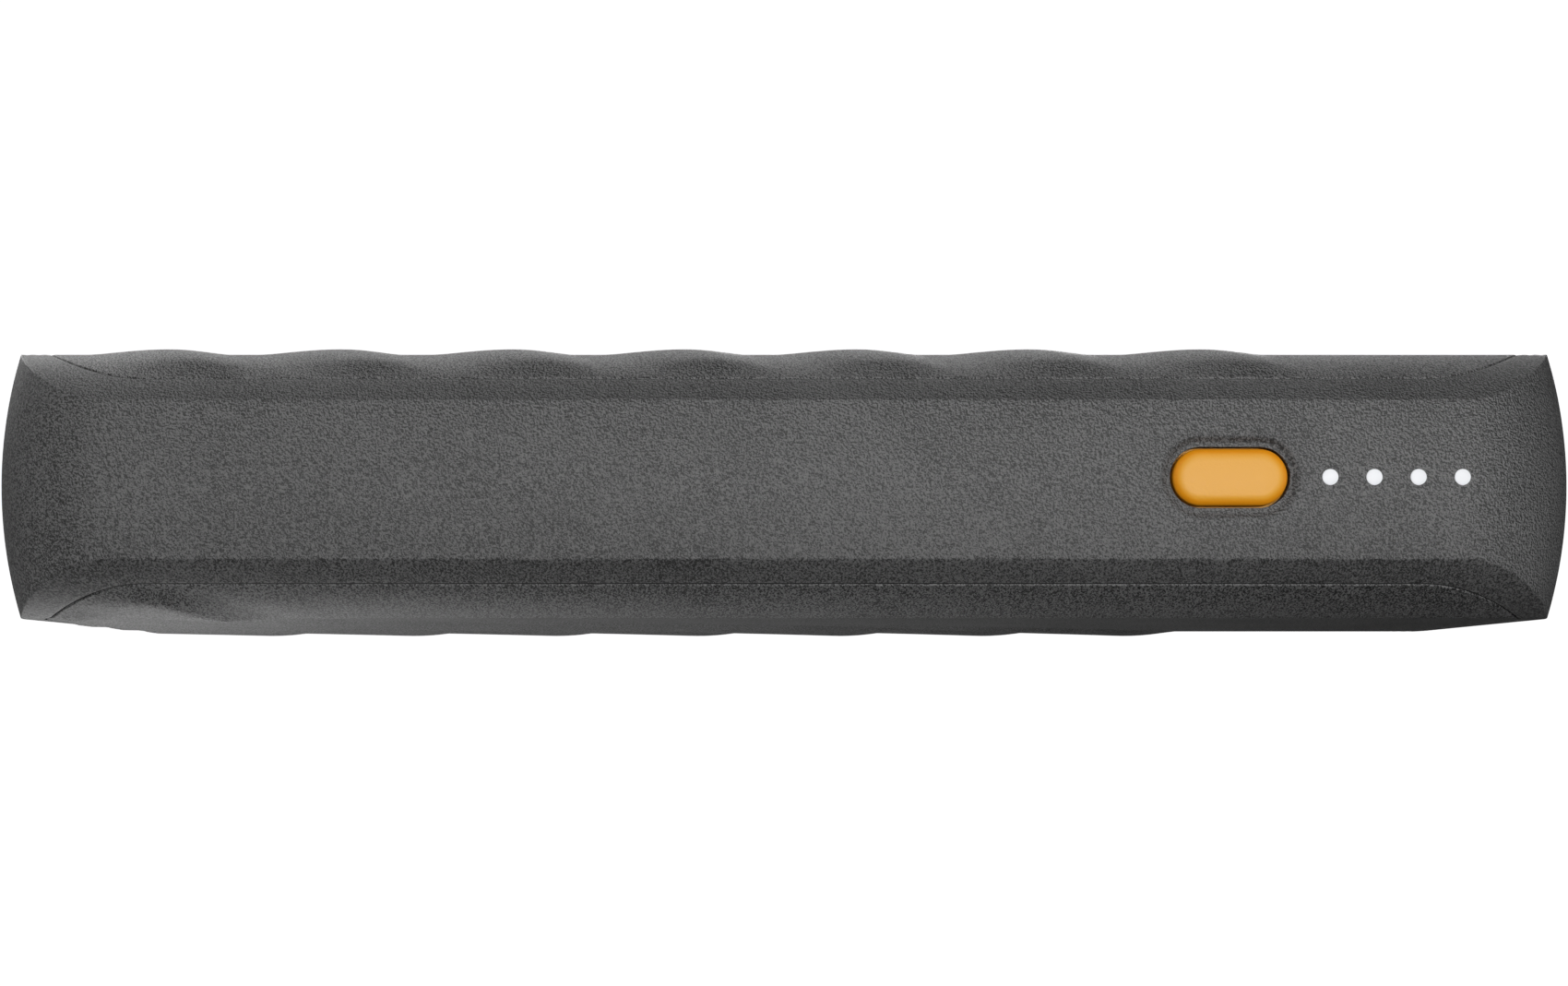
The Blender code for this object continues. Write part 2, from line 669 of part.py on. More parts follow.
def power_button(centre, finish):
    """The cap with its crowned face, a flange that keeps it behind the wall, and a short stem."""
    face = -HALF_WIDTH - BUTTON_PROUD
    flange_front = INNER_FACE_Y + FIT
    flange_back = flange_front + BUTTON_FLANGE
    levels = [(face + behind, -inset) for behind, inset in BUTTON_ROLL]
    levels += [
        (flange_front, 0.0),
        (flange_front, BUTTON_FLANGE_REACH),
        (flange_back, BUTTON_FLANGE_REACH),
    ]
    place = (BUTTON_X, -HALF_WIDTH, CONTROLS_Z)
    rings = button_rings(0.0, [(y + HALF_WIDTH, extra) for y, extra in levels])
    return make_object("power_button", stack(rings), finish, centre, place)


def light_pipe(centre, finish):
    """One clear moulding: a bar behind the wall with four pins that end flush with it."""
    front = INNER_FACE_Y + FIT
    reach = 2.5 * MM
    xs = light_places()
    bar = boxes(
        (
            (xs[0] - reach, front, CONTROLS_Z - reach * 0.7),
            (xs[-1] + reach, front + LIGHT_BAR, CONTROLS_Z + reach * 0.7),
        )
    )
    pipe = make_object("light_pipe", bar, finish, centre)
    flush = -HALF_WIDTH + 0.02 * MM
    for i, x in enumerate(xs):
        pin = turned(
            [(LIGHT_RADIUS, flush), (LIGHT_RADIUS, front + LIGHT_BAR / 2)], "Y", (x, 0, CONTROLS_Z), 12
        )
        boolean(pipe, make_object(f"pin_{i}", pin, None, centre), "UNION")
    return pipe


def controls(centre, finishes):
    """The small board behind the near wall, with the switch, the lamps and the header."""
    half = SMALL_BOARD_HEIGHT / 2
    board = boxes(
        (
            (SMALL_BOARD_START, SMALL_BOARD_Y, -half + FIT),
            (SMALL_BOARD_END, SMALL_BOARD_Y + SMALL_BOARD, half - FIT),
        )
    )
    make_object("indicator_board", board, finishes["board"], centre)

    size = SWITCH_SIZE / 2
    body = stack(
        [
            [(x, y, z + CONTROLS_Z) for x, y, z in ring_y(size, size, 0.6 * MM, depth, 3)]
            for depth in (SWITCH_TOP_Y, SWITCH_TOP_Y + SWITCH_BODY)
        ]
    )
    switch = make_object("switch_body", body, finishes["black"], centre, (BUTTON_X, 0, 0))
    well_foot = SWITCH_TOP_Y + BUTTON_TRAVEL + FIT
    well = turned(
        [(SWITCH_STEM + FIT, SWITCH_TOP_Y - FIT), (SWITCH_STEM + FIT, well_foot)],
        "Y",
        (0, 0, CONTROLS_Z),
        16,
    )
    boolean(switch, make_object("switch_well", well, None, centre, (BUTTON_X, 0, 0)), "DIFFERENCE")

    tip = INNER_FACE_Y + FIT + BUTTON_FLANGE + FIT
    stem = turned([(SWITCH_STEM, 0.0), (SWITCH_STEM, SWITCH_TOP_Y - tip)], "Y", sides=16)
    make_object("switch_plunger", stem, finishes["brass"], centre, (BUTTON_X, tip, CONTROLS_Z))

    lamp = 0.8 * MM
    for i, x in enumerate(light_places()):
        body = boxes(((-lamp, -lamp, -lamp / 2), (lamp, 0.0, lamp / 2)))
        place = (x, SMALL_BOARD_Y - SOLDER, CONTROLS_Z)
        make_object(f"indicator_lamp_{i + 1}", body, finishes["lamp"], centre, place)


def board_header(centre, finish):
    """The pin header that joins the small board to the main board."""
    x = SMALL_BOARD_END - HEADER_OFFSET
    half = HEADER_LENGTH / 2
    back = SMALL_BOARD_Y + SMALL_BOARD + SOLDER
    top = BOARD_THICKNESS / 2 + SOLDER
    block = boxes(((x - half, back, top), (x + half, back + HEADER_DEPTH, top + HEADER_HEIGHT)))
    make_object("board_header", block, finish, centre)


# ---------------------------------------------------------------- cells


def cell_rows():
    """The lower end of each row of cells along the body."""
    return [CELL_ROW_START, CELL_ROW_START + CELL_LENGTH + CELL_ROW_GAP]


def cells(centre, finish):
    """Six round cells lying along the body, two rows of three."""
    rim = 0.5 * MM
    button = 3.2 * MM
    groove = 1.6 * MM
    profile = [
        (CELL_RADIUS - rim, 0.0),
        (CELL_RADIUS, rim),
        (CELL_RADIUS, CELL_LENGTH - 4 * groove),
        (CELL_RADIUS - rim, CELL_LENGTH - 3.4 * groove),
        (CELL_RADIUS, CELL_LENGTH - 2.8 * groove),
        (CELL_RADIUS, CELL_LENGTH - 2 * rim),
        (CELL_RADIUS - rim, CELL_LENGTH - rim),
        (button, CELL_LENGTH - rim),
        (button, CELL_LENGTH),
    ]
    number = 1
    for start in cell_rows():
        for place in (-1, 0, 1):
            body = turned(profile, "X", sides=20)
            make_object(f"cell_{number}", body, finish, centre, (start, place * CELL_PITCH, 0))
            number += 1


def cell_brackets(centre, finish):
    """Plates with three holes that hold the cells in line, two on each row."""
    hole = CELL_RADIUS + FIT
    width = BRACKET_HALF_WIDTH
    height = HALF_THICKNESS - COVER_WALL - FIT
    quarter = [(width, height - BRACKET_BEVEL_HEIGHT), (width - BRACKET_BEVEL_WIDTH, height)]
    section = quarter + [(-y, z) for y, z in reversed(quarter)]
    section += [(-y, -z) for y, z in section]
    starts = []
    for row in cell_rows():
        starts.append(row + BRACKET_INSET)
        starts.append(row + CELL_LENGTH - BRACKET_INSET - BRACKET_THICKNESS)
    for i, start in enumerate(starts):
        name = f"cell_bracket_{i + 1}"
        plate = stack([[(x, y, z) for y, z in section] for x in (0.0, BRACKET_THICKNESS)])
        bracket = make_object(name, plate, finish, centre, (start, 0, 0))
        for place in (-1, 0, 1):
            tunnel = turned([(hole, -FAR), (hole, FAR)], "X", (0, place * CELL_PITCH, 0), 20)
            cutter = make_object(f"{name}_hole_{place + 1}", tunnel, None, centre, (start, 0, 0))
            boolean(bracket, cutter, "DIFFERENCE")


def bus_bars(centre, finish):
    """Nickel strips across the cells' ends: one at each end and one that links the two rows."""
    first, second = cell_rows()
    half_width = CELL_PITCH + BUS_BAR_REACH
    half_height = BUS_BAR_HEIGHT / 2
    middle = first + CELL_LENGTH + CELL_ROW_GAP / 2
    starts = {
        "bus_bar_left": first - FIT - BUS_BAR,
        "bus_bar_middle": middle - BUS_BAR / 2,
        "bus_bar_right": second + CELL_LENGTH + FIT,
    }
    for name, start in starts.items():
        plate = stack([ring_x(half_width, half_height, 1.0 * MM, x, 3) for x in (start, start + BUS_BAR)])
        make_object(name, plate, finish, centre)


def foam_pads(centre, finish):
    """Pads between the cells and the covers, one for each row on each side."""
    first, second = cell_rows()
    margin = BRACKET_INSET + BRACKET_THICKNESS + PAD_SPACE
    spans = [
        (first + margin, first + CELL_LENGTH - margin),
        (second + margin, second + CELL_LENGTH - margin),
    ]
    low, high = CELL_RADIUS + FIT, HALF_THICKNESS - COVER_WALL - FIT
    half_width = HALF_WIDTH - CROWN_WIDTH - PAD_SIDE_SPACE
    for name, side in (("top_foam_pad", 1), ("bottom_foam_pad", -1)):
        zs = sorted((side * low, side * high))
        for i, (start, end) in enumerate(spans):
            pad = boxes(((start, -half_width, zs[0]), (end, half_width, zs[1])))
            make_object(f"{name}_{i + 1}", pad, finish, centre)


def lead(name, points, radius, finish, centre):
    """An insulated wire that follows a smooth line through the given points."""
    curve = bpy.data.curves.new(name, "CURVE")
    curve.dimensions = "3D"
    curve.bevel_depth = radius
    curve.bevel_resolution = 1
    curve.use_fill_caps = True
    line = smooth_line([Vector(point) for point in points], 4)
    spline = curve.splines.new("POLY")
    spline.points.add(len(line) - 1)
    for target, point in zip(spline.points, line):
        target.co = (*point, 1.0)
    obj = bpy.data.objects.new(name, curve)
    bpy.context.scene.collection.objects.link(obj)
    obj.parent = centre
    curve.materials.append(finish)


def smooth_line(points, steps):
    """Points on a Catmull-Rom line through the given ones."""
    padded = [2 * points[0] - points[1], *points, 2 * points[-1] - points[-2]]
    line = []
    for a, b, c, d in zip(padded, padded[1:], padded[2:], padded[3:]):
        for step in range(steps):
            t = step / steps
            line.append(
                0.5 * (2 * b + (c - a) * t + (2 * a - 5 * b + 4 * c - d) * t**2 + (3 * b - a - 3 * c + d) * t**3)
            )
    return [*line, points[-1]]


def leads(centre, finishes):
    """Three wires from the bus bars to the main board, two of them in the channel along the far wall."""
    first, second = cell_rows()
    radius = LEAD_RADIUS
    thin = THIN_LEAD_RADIUS
    channel = CAVITY_HALF_WIDTH - radius - 1.0 * MM
    left = first - FIT - BUS_BAR - FIT - radius
    middle = first + CELL_LENGTH + CELL_ROW_GAP / 2
    right = second + CELL_LENGTH + FIT + BUS_BAR + FIT + radius
    pad_x = BOARD_START + 1.8 * MM
    seat = BOARD_THICKNESS / 2 + FIT
    end = CELL_PITCH + 2.0 * MM
    beside = BRACKET_HALF_WIDTH + 1.6 * MM
    edge = BOARD_HALF_WIDTH
    lead(
        "negative_lead",
        [
            (left, end - 4.0 * MM, 0),
            (left + 0.1 * MM, end + 2.0 * MM, 0),
            (left + 0.3 * MM, beside - 4.0 * MM, 0),
            (left + 2.0 * MM, beside - 1.4 * MM, 0),
            (left + 7.0 * MM, beside, 0),
            (left + 18.0 * MM, channel, 0),
            (left + 60.0 * MM, channel, 0),
            (left + 110.0 * MM, channel, 0),
            (pad_x - 10.0 * MM, channel, 0.6 * MM),
            (pad_x - 4.0 * MM, beside, 2.4 * MM),
            (pad_x - 1.4 * MM, edge + 0.8 * MM, 3.8 * MM),
            (pad_x - 0.6 * MM, edge - 1.0 * MM, 3.4 * MM),
            (pad_x - 0.6 * MM, edge - 1.8 * MM, seat + 0.9 * MM),
            (pad_x - 0.6 * MM, edge - 1.8 * MM, seat),
        ],
        radius,
        finishes["black_wire"],
        centre,
    )
    lead(
        "positive_lead",
        [
            (right, 10.0 * MM, 0.0),
            (right, 10.0 * MM, 3.0 * MM),
            (right + 0.8 * MM, 10.0 * MM, 5.0 * MM),
            (pad_x - 0.2 * MM, 10.0 * MM, 4.8 * MM),
            (pad_x + 0.6 * MM, 10.0 * MM, 3.4 * MM),
            (pad_x + 0.6 * MM, 10.0 * MM, seat),
        ],
        radius,
        finishes["red_wire"],
        centre,
    )
    lane = 3.4 * MM
    lead(
        "balance_lead",
        [
            (middle, CELL_PITCH + BUS_BAR_REACH + FIT + thin, 0),
            (middle, beside - 3.0 * MM, 0.8 * MM),
            (middle + 1.0 * MM, beside, 2.4 * MM),
            (middle + 8.0 * MM, channel, lane),
            (middle + 40.0 * MM, channel, lane),
            (pad_x - 8.0 * MM, channel, lane),
            (pad_x - 1.0 * MM, channel - 0.6 * MM, lane + 0.6 * MM),
            (pad_x + 3.4 * MM, beside - 0.6 * MM, lane + 0.6 * MM),
            (pad_x + 5.8 * MM, edge - 0.8 * MM, lane),
            (pad_x + 6.2 * MM, edge - 1.8 * MM, seat + 0.8 * MM),
            (pad_x + 6.2 * MM, edge - 1.8 * MM, seat),
        ],
        thin,
        finishes["white_wire"],
        centre,
    )


# ---------------------------------------------------------------- main board


def main_board(centre, finish):
    """The charging board, notched at its outer edge for the three sunk sockets."""
    half = BOARD_THICKNESS / 2
    corner = BOARD_END - BOARD_CHAMFER, BOARD_HALF_WIDTH - BOARD_CHAMFER
    outline = [
        (BOARD_START, -BOARD_HALF_WIDTH),
        (corner[0], -BOARD_HALF_WIDTH),
        (BOARD_END, -corner[1]),
        (BOARD_END, corner[1]),
        (corner[0], BOARD_HALF_WIDTH),
        (BOARD_START, BOARD_HALF_WIDTH),
    ]
    board = make_object(
        "main_board", stack([[(x, y, z) for x, y in outline] for z in (-half, half)]), finish, centre
    )
    mouth = HALF_LENGTH - SOCKET_INSET
    for name, y, form in socket_places():
        side = form["width"] / 2 + SOCKET_GAP
        notch = boxes(
            (
                (mouth - form["depth"] - SOCKET_GAP, y - side, -FAR),
                (BOARD_END + FAR, y + side, FAR),
            )
        )
        boolean(board, make_object(name + "_notch", notch, None, centre), "DIFFERENCE")
    holes = join(
        [
            turned([(SCREW_RADIUS + FIT, -FAR), (SCREW_RADIUS + FIT, FAR)], "Z", (x, y, 0), 12)
            for x, y in boss_places()
        ]
    )
    boolean(board, make_object("board_holes", holes, None, centre), "DIFFERENCE")


def board_screws(centre, finish):
    """Pan-head screws that hold the main board on the bottom cover's pillars."""
    seat = BOARD_THICKNESS / 2 + SOLDER
    head = 1.1 * MM
    profile = [
        (SCREW_RADIUS * 0.4, seat - SCREW_LENGTH),
        (SCREW_RADIUS, seat - SCREW_LENGTH + 0.8 * MM),
        (SCREW_RADIUS, seat),
        (SCREW_HEAD_RADIUS, seat),
        (SCREW_HEAD_RADIUS, seat + head * 0.6),
        (SCREW_HEAD_RADIUS * 0.7, seat + head),
    ]
    for i, (x, y) in enumerate(boss_places()):
        make_object(f"board_screw_{i + 1}", turned(profile, "Z", sides=12), finish, centre, (x, y, 0))


def socket(name, y, form, finishes, centre):
    """A metal shell, closed at the back, with an insulating tongue and its contacts inside."""
    mouth = HALF_LENGTH - SOCKET_INSET
    back = mouth - form["depth"]
    half_width, half_height = form["width"] / 2, form["height"] / 2
    radius = form["radius"]
    body = stack([ring_x(half_width, half_height, radius, x) for x in (back, mouth)])
    shell = make_object(name + "_shell", body, finishes["steel"], centre, (0, y, 0))
    inner = [
        ring_x(half_width - SHEET_METAL, half_height - SHEET_METAL, max(radius - SHEET_METAL, 0.1 * MM), x)
        for x in (back + SHEET_METAL, mouth + FAR)
    ]
    boolean(shell, make_object(name + "_mouth", stack(inner), None, centre, (0, y, 0)), "DIFFERENCE")

    tongue_half = form["tongue_width"] / 2
    block_back = back + SHEET_METAL + SOLDER
    block_front = block_back + form["block_depth"]
    block_side = half_width - SHEET_METAL - SOLDER - form["block_trim"]
    lift = half_height - SHEET_METAL - SOLDER
    tongue = boxes(((block_back, -block_side, -lift), (block_front, block_side, lift)))
    insulator = make_object(name + "_tongue", tongue, finishes["socket"], centre, (0, y, 0))
    front = mouth - form["tongue_inset"]
    blade = boxes(
        (
            (block_front - FIT, -tongue_half, form["tongue_low"]),
            (front, tongue_half, form["tongue_high"]),
        )
    )
    boolean(insulator, make_object(name + "_blade", blade, None, centre, (0, y, 0)), "UNION")


def board_components(centre, finishes):
    """The parts soldered on top of the main board, behind the sockets."""
    seat = BOARD_THICKNESS / 2 + SOLDER
    middle = BOARD_START + TALL_PARTS_X
    half = INDUCTOR_SIZE / 2
    top = seat + INDUCTOR_HEIGHT
    levels = ((seat, 0.0), (top - INDUCTOR_BEVEL, 0.0), (top, INDUCTOR_BEVEL))
    for i, y in enumerate(INDUCTOR_YS):
        core = stack([ring_z(half - inset, half - inset, 1.0 * MM, z, 2) for z, inset in levels])
        make_object(f"power_inductor_{i + 1}", core, finishes["ferrite"], centre, (middle, y, 0))

    groove = seat + 1.3 * MM
    bevel = 0.3 * MM
    profile = [
        (CAN_RADIUS, seat),
        (CAN_RADIUS, groove - bevel),
        (CAN_RADIUS - bevel, groove),
        (CAN_RADIUS, groove + bevel),
        (CAN_RADIUS, seat + CAN_HEIGHT - bevel),
        (CAN_RADIUS - bevel, seat + CAN_HEIGHT),
    ]
    for i, y in enumerate(CAN_YS):
        body = turned(profile, "Z", sides=16)
        make_object(f"filter_capacitor_{i + 1}", body, finishes["can"], centre, (middle, y, 0))

    for name, form in CHIPS.items():
        a = form["size"] / 2
        chip = boxes(((-a, -a, seat), (a, a, seat + CHIP_HEIGHT)))
        make_object(name, chip, finishes["chip"], centre, (BOARD_START + form["x"], form["y"], 0))


# ---------------------------------------------------------------- the whole


def build():
    clear_scene()
    centre = bpy.data.objects.new("body_centre", None)
    bpy.context.scene.collection.objects.link(centre)
    centre.location = (0, 0, HALF_THICKNESS + RIB_HEIGHT)

    grey = material("textured_grey", (0.112, 0.112, 0.112), 0.62)
    amber = material("amber", (0.80, 0.42, 0.07), 0.45)
    finishes = {
        "board": material("board_green", (0.02, 0.16, 0.07), 0.5),
        "black": material("switch_black", (0.02, 0.02, 0.02), 0.5),
        "brass": material("brass", (0.72, 0.52, 0.2), 0.35, 1.0),
        "lamp": material("lamp_white", (0.9, 0.9, 0.85), 0.4),
        "steel": material("plated_steel", (0.72, 0.72, 0.74), 0.3, 1.0),
        "socket": material("socket_black", (0.03, 0.03, 0.03), 0.5),
        "ferrite": material("ferrite", (0.10, 0.10, 0.11), 0.7),
        "can": material("can_aluminium", (0.6, 0.6, 0.62), 0.35, 1.0),
        "chip": material("chip_black", (0.02, 0.02, 0.022), 0.45),
        "black_wire": material("wire_black", (0.02, 0.02, 0.02), 0.5),
        "red_wire": material("wire_red", (0.5, 0.02, 0.02), 0.5),
        "white_wire": material("wire_white", (0.8, 0.8, 0.78), 0.5),
    }

    middle_frame(centre, grey)
    cover("top_cover", centre, grey, upside_down=False)
    add_bosses(*cover("bottom_cover", centre, grey, upside_down=True))

    power_button(centre, amber)
    light_pipe(centre, material("light_white", (0.88, 0.89, 0.92), 0.3))
    controls(centre, finishes)
    board_header(centre, finishes["black"])

    cells(centre, material("cell_wrap", (0.10, 0.35, 0.55), 0.4))
    cell_brackets(centre, material("bracket_black", (0.03, 0.03, 0.03), 0.55))
    bus_bars(centre, material("nickel", (0.66, 0.64, 0.60), 0.35, 1.0))
    foam_pads(centre, material("foam", (0.05, 0.05, 0.055), 0.95))
    leads(centre, finishes)

    main_board(centre, finishes["board"])
    board_screws(centre, finishes["steel"])
    for name, y, form in socket_places():
        socket(name, y, form, finishes, centre)
    board_components(centre, finishes)


build()
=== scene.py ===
"""Looks of the power bank: fine casing skins with moulded grain, the crowned button, the light
points and the sockets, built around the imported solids. Metres, +Z up, +X to the sockets."""

import json
import math

import bmesh
import bpy
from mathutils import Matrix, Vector


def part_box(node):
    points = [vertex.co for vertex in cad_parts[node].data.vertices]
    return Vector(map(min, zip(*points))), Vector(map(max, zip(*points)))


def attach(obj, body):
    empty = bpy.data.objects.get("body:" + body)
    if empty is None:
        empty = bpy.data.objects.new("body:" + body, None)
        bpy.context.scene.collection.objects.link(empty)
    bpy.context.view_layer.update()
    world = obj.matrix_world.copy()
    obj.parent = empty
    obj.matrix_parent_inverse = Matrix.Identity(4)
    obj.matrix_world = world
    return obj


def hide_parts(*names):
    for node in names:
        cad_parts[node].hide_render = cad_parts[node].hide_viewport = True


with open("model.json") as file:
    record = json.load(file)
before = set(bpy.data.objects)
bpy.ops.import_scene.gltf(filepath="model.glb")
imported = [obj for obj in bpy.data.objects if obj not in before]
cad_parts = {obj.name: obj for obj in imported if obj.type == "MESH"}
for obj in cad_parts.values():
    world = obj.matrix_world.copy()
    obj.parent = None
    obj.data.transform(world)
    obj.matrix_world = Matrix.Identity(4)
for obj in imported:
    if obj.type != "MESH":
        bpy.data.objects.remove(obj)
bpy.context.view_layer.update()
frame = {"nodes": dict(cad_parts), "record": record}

MM = 0.001

# The casing's sizes, as the solids have them
LENGTH, WIDTH, THICKNESS = 185.3 * MM, 82.5 * MM, 31.0 * MM
CORNER = 15.0 * MM
BULGE = 56.0 * MM
FIT = 0.3 * MM
WALL, COVER_WALL = 2.4 * MM, 2.1 * MM
CROWN_WIDTH, CROWN_RADIUS, CROWN_START = 10.5 * MM, 19.6 * MM, math.radians(16.0)
SEAM_SIDE, SEAM_END, SEAM_CORNER = 3.5 * MM, 4.05 * MM, 15.45 * MM
SKIRT_DEPTH = 6.0 * MM
SHELF_THICKNESS, SHELF_REACH = 2.0 * MM, 2.2 * MM
RIB_HEIGHT, RIB_COUNT, RIB_PITCH = 0.65 * MM, 7, 20.2 * MM
RIB_FIRST_OFFSET = 12.7 * MM
RIB_SLOPE, RIB_SLOPE_GAIN = 0.75, 11.5
RIB_FADE, RIB_FOOT, RIB_CREST, RIB_FAR_CREST = 3.0 * MM, 0.20, 0.66, 0.60
PLAIN_START, PLAIN_END, PLAIN_FADE = 18.0 * MM, 70.0 * MM, 16.0 * MM
PLAIN_NEAR_OFFSET, PLAIN_FAR_OFFSET = 17.5 * MM, 62.5 * MM
NEAR_RISE_POWER, NEAR_FALL_POWER = 1.2, 1.3  # the fall is a little crisper than on the solids
FAR_RISE_POWER, FAR_FALL_POWER = 1.4, 1.6

# Visible details
SEAM_LINE = 0.24 * MM
SEAM_ROUND = 0.14 * MM
EDGE_ROUND = 0.13 * MM
BUTTON_LENGTH, BUTTON_HEIGHT, BUTTON_PROUD = 13.1 * MM, 6.45 * MM, 0.2 * MM
BUTTON_LINE = 0.24 * MM
LIP_WIDTH, DISH_WIDTH, DISH_DEPTH = 0.85 * MM, 0.85 * MM, 0.5 * MM
LIP_END, DISH_END = 0.65, 1.6  # both widths at the button's round ends, against those above and below it
FLANGE_REACH, FLANGE_THICKNESS = 1.1 * MM, 0.8 * MM
ROLL_WIDTH, ROLL_DEPTH = 1.45 * MM, 0.85 * MM  # the rolled edge of the button's cap
CROWN = ((0.03 * MM, -1.9 * MM), (0.01 * MM, -2.6 * MM), (0.0, -3.2 * MM))  # depth and inset of its face
CROWN_RIM = 0.05 * MM
LIGHT_RADIUS, LIGHT_LINE, LIGHT_EDGE = 0.91 * MM, 0.03 * MM, 0.06 * MM
LIGHT_BAR, LIGHT_BAR_CORNER = 1.2 * MM, 0.8 * MM
# Sizes of the dark sheet that paints the shadow in each seam's gap.
SHADOW_SHEET, SHADOW_SHEET_OVERLAP, SHADOW_SHEET_DROP = 0.04 * MM, 0.01 * MM, 0.03 * MM
SHELL_SHEET, SHELL_LIP = 0.3 * MM, 0.1 * MM
SOCKETS = (  # each socket's shell and its corner radius
    ("usb_a_near_shell", 0.4 * MM),
    ("usb_c_shell", 1.55 * MM),
    ("usb_a_far_shell", 0.4 * MM),
)
SOCKET_GAP, SOCKET_FLARE = 0.2 * MM, 0.35 * MM
CONTACT_THICKNESS, CONTACT_BEVEL, CONTACT_SET_BACK = 0.12 * MM, 0.03 * MM, 0.6 * MM
# The grain step sets which flank of each grain gets painted shade and which gets painted highlight.
PAINTED_SHADE_STEP = (0.06 * MM, 0.045 * MM, 0.065 * MM)  # from a point to the one that its height is set against
GRAIN_NOISE = (1.6, 0.5, 0.55)  # detail, distortion and roughness
SMOOTH_ANGLE = math.radians(35)

HALF_L, HALF_W, HALF_T = LENGTH / 2, WIDTH / 2, THICKNESS / 2
SEAM_L, SEAM_W = HALF_L - SEAM_END, HALF_W - SEAM_SIDE
CENTRE_Z = HALF_T + RIB_HEIGHT


def middle_of(node):
    low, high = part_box(node)
    return (Vector(low) + Vector(high)) / 2


button_middle = middle_of("power_button")
BUTTON_X, CONTROLS_Z = button_middle.x, button_middle.z - CENTRE_Z
LIGHT_XS = [middle_of(f"indicator_lamp_{i}").x for i in range(1, 5)]


# ---------------------------------------------------------------- forms


def wall_inset(z):
    return BULGE - math.sqrt(BULGE**2 - z**2)


def wall_height(inset):
    """Height of the bowed wall where it has come in this far."""
    return math.sqrt(max(0.0, 2 * BULGE * inset - inset**2))


def crown_drop(depth):
    if depth >= CROWN_WIDTH:
        return 0.0
    across = (CROWN_WIDTH - depth) / CROWN_RADIUS + math.sin(CROWN_START)
    return CROWN_RADIUS * (math.cos(CROWN_START) - math.sqrt(1 - across**2))


def smooth_step(value):
    value = min(1.0, max(0.0, value))
    return value * value * (3 - 2 * value)


def seam_distance(x, y):
    dx = abs(x) - (SEAM_L - SEAM_CORNER)
    dy = abs(y) - (SEAM_W - SEAM_CORNER)
    if dx > 0 and dy > 0:
        return SEAM_CORNER - math.hypot(dx, dy)
    return SEAM_CORNER - max(dx, dy)


def rib_shift(across):
    return (RIB_SLOPE + RIB_SLOPE_GAIN * across / 2) * across


def rib_wave(phase, share_across):
    """A ridge's height from 0 to 1 along its pitch, turning from the near form to the far one."""
    if phase < RIB_FOOT:
        near = 0.0
    elif phase < RIB_CREST:
        near = math.sin(math.pi / 2 * (phase - RIB_FOOT) / (RIB_CREST - RIB_FOOT)) ** NEAR_RISE_POWER
    else:
        near = math.cos(math.pi / 2 * (phase - RIB_CREST) / (1 - RIB_CREST)) ** NEAR_FALL_POWER
    if phase < RIB_FAR_CREST:
        far = (phase / RIB_FAR_CREST) ** FAR_RISE_POWER
    else:
        far = ((1 - phase) / (1 - RIB_FAR_CREST)) ** FAR_FALL_POWER
    blend = smooth_step(share_across)
    return near * (1 - blend) + far * blend


FIRST_CREASE = RIB_FIRST_OFFSET - HALF_L


def rib_height(x, y, along):
    turns = (along - FIRST_CREASE) / RIB_PITCH
    if turns <= 0 or turns >= RIB_COUNT:
        return 0.0
    across = y + SEAM_W
    wave = rib_wave(turns % 1.0, across / (2 * SEAM_W))
    edge = smooth_step(seam_distance(x, y) / RIB_FADE)
    share = min(1.0, max(0.0, (across - PLAIN_START) / (PLAIN_END - PLAIN_START)))
    limit = HALF_L - PLAIN_NEAR_OFFSET + (PLAIN_NEAR_OFFSET - PLAIN_FAR_OFFSET) * share
    return RIB_HEIGHT * wave * edge * smooth_step((limit - along) / PLAIN_FADE)


# ---------------------------------------------------------------- mesh tools


def new_object(name, maker, sharp=SMOOTH_ANGLE):
    """An object from a bmesh, which is freed, shaded smooth up to the given angle."""
    mesh = bpy.data.meshes.new(name)
    bmesh.ops.recalc_face_normals(maker, faces=maker.faces)
    maker.to_mesh(mesh)
    maker.free()
    obj = bpy.data.objects.new(name, mesh)
    bpy.context.scene.collection.objects.link(obj)
    mesh.shade_smooth()
    if sharp:
        mesh.set_sharp_from_angle(angle=sharp)
    return obj


def skin(maker, rings, closed=False, caps=True):
    """Faces between rings of points, each ring closed on itself."""
    loops = [[maker.verts.new(p) for p in ring] for ring in rings]
    pairs = list(zip(loops, loops[1:]))
    if closed:
        pairs.append((loops[-1], loops[0]))
    count = len(loops[0])
    for lower, upper in pairs:
        for i in range(count):
            j = (i + 1) % count
            maker.faces.new((lower[i], lower[j], upper[j], upper[i]))
    if caps and not closed:
        maker.faces.new(list(reversed(loops[0])))
        maker.faces.new(loops[-1])
    return loops


def rounded_rectangle(a, b, r, steps=12):
    points = []
    for quarter, (sx, sy) in enumerate(((1, 1), (-1, 1), (-1, -1), (1, -1))):
        for step in range(steps + 1):
            t = math.pi / 2 * (quarter + step / steps)
            points.append((sx * (a - r) + r * math.cos(t), sy * (b - r) + r * math.sin(t)))
    return points


def stadium(half_length, radius, grow=0.0, steps=32):
    """Points round a slot shape in the X-Z plane."""
    straight = half_length - radius
    r = max(radius + grow, 0.02 * MM)
    points = []
    for side, start in ((1, -math.pi / 2), (-1, math.pi / 2)):
        for step in range(steps + 1):
            t = start + math.pi * step / steps
            points.append((side * straight + r * math.cos(t), r * math.sin(t)))
    return points


def button_ring(y, grow):
    """The button's slot shape at this depth, grown by this much."""
    slot = stadium(BUTTON_LENGTH / 2, BUTTON_HEIGHT / 2, grow)
    return [(x + BUTTON_X, y, z + CONTROLS_Z + CENTRE_Z) for x, z in slot]


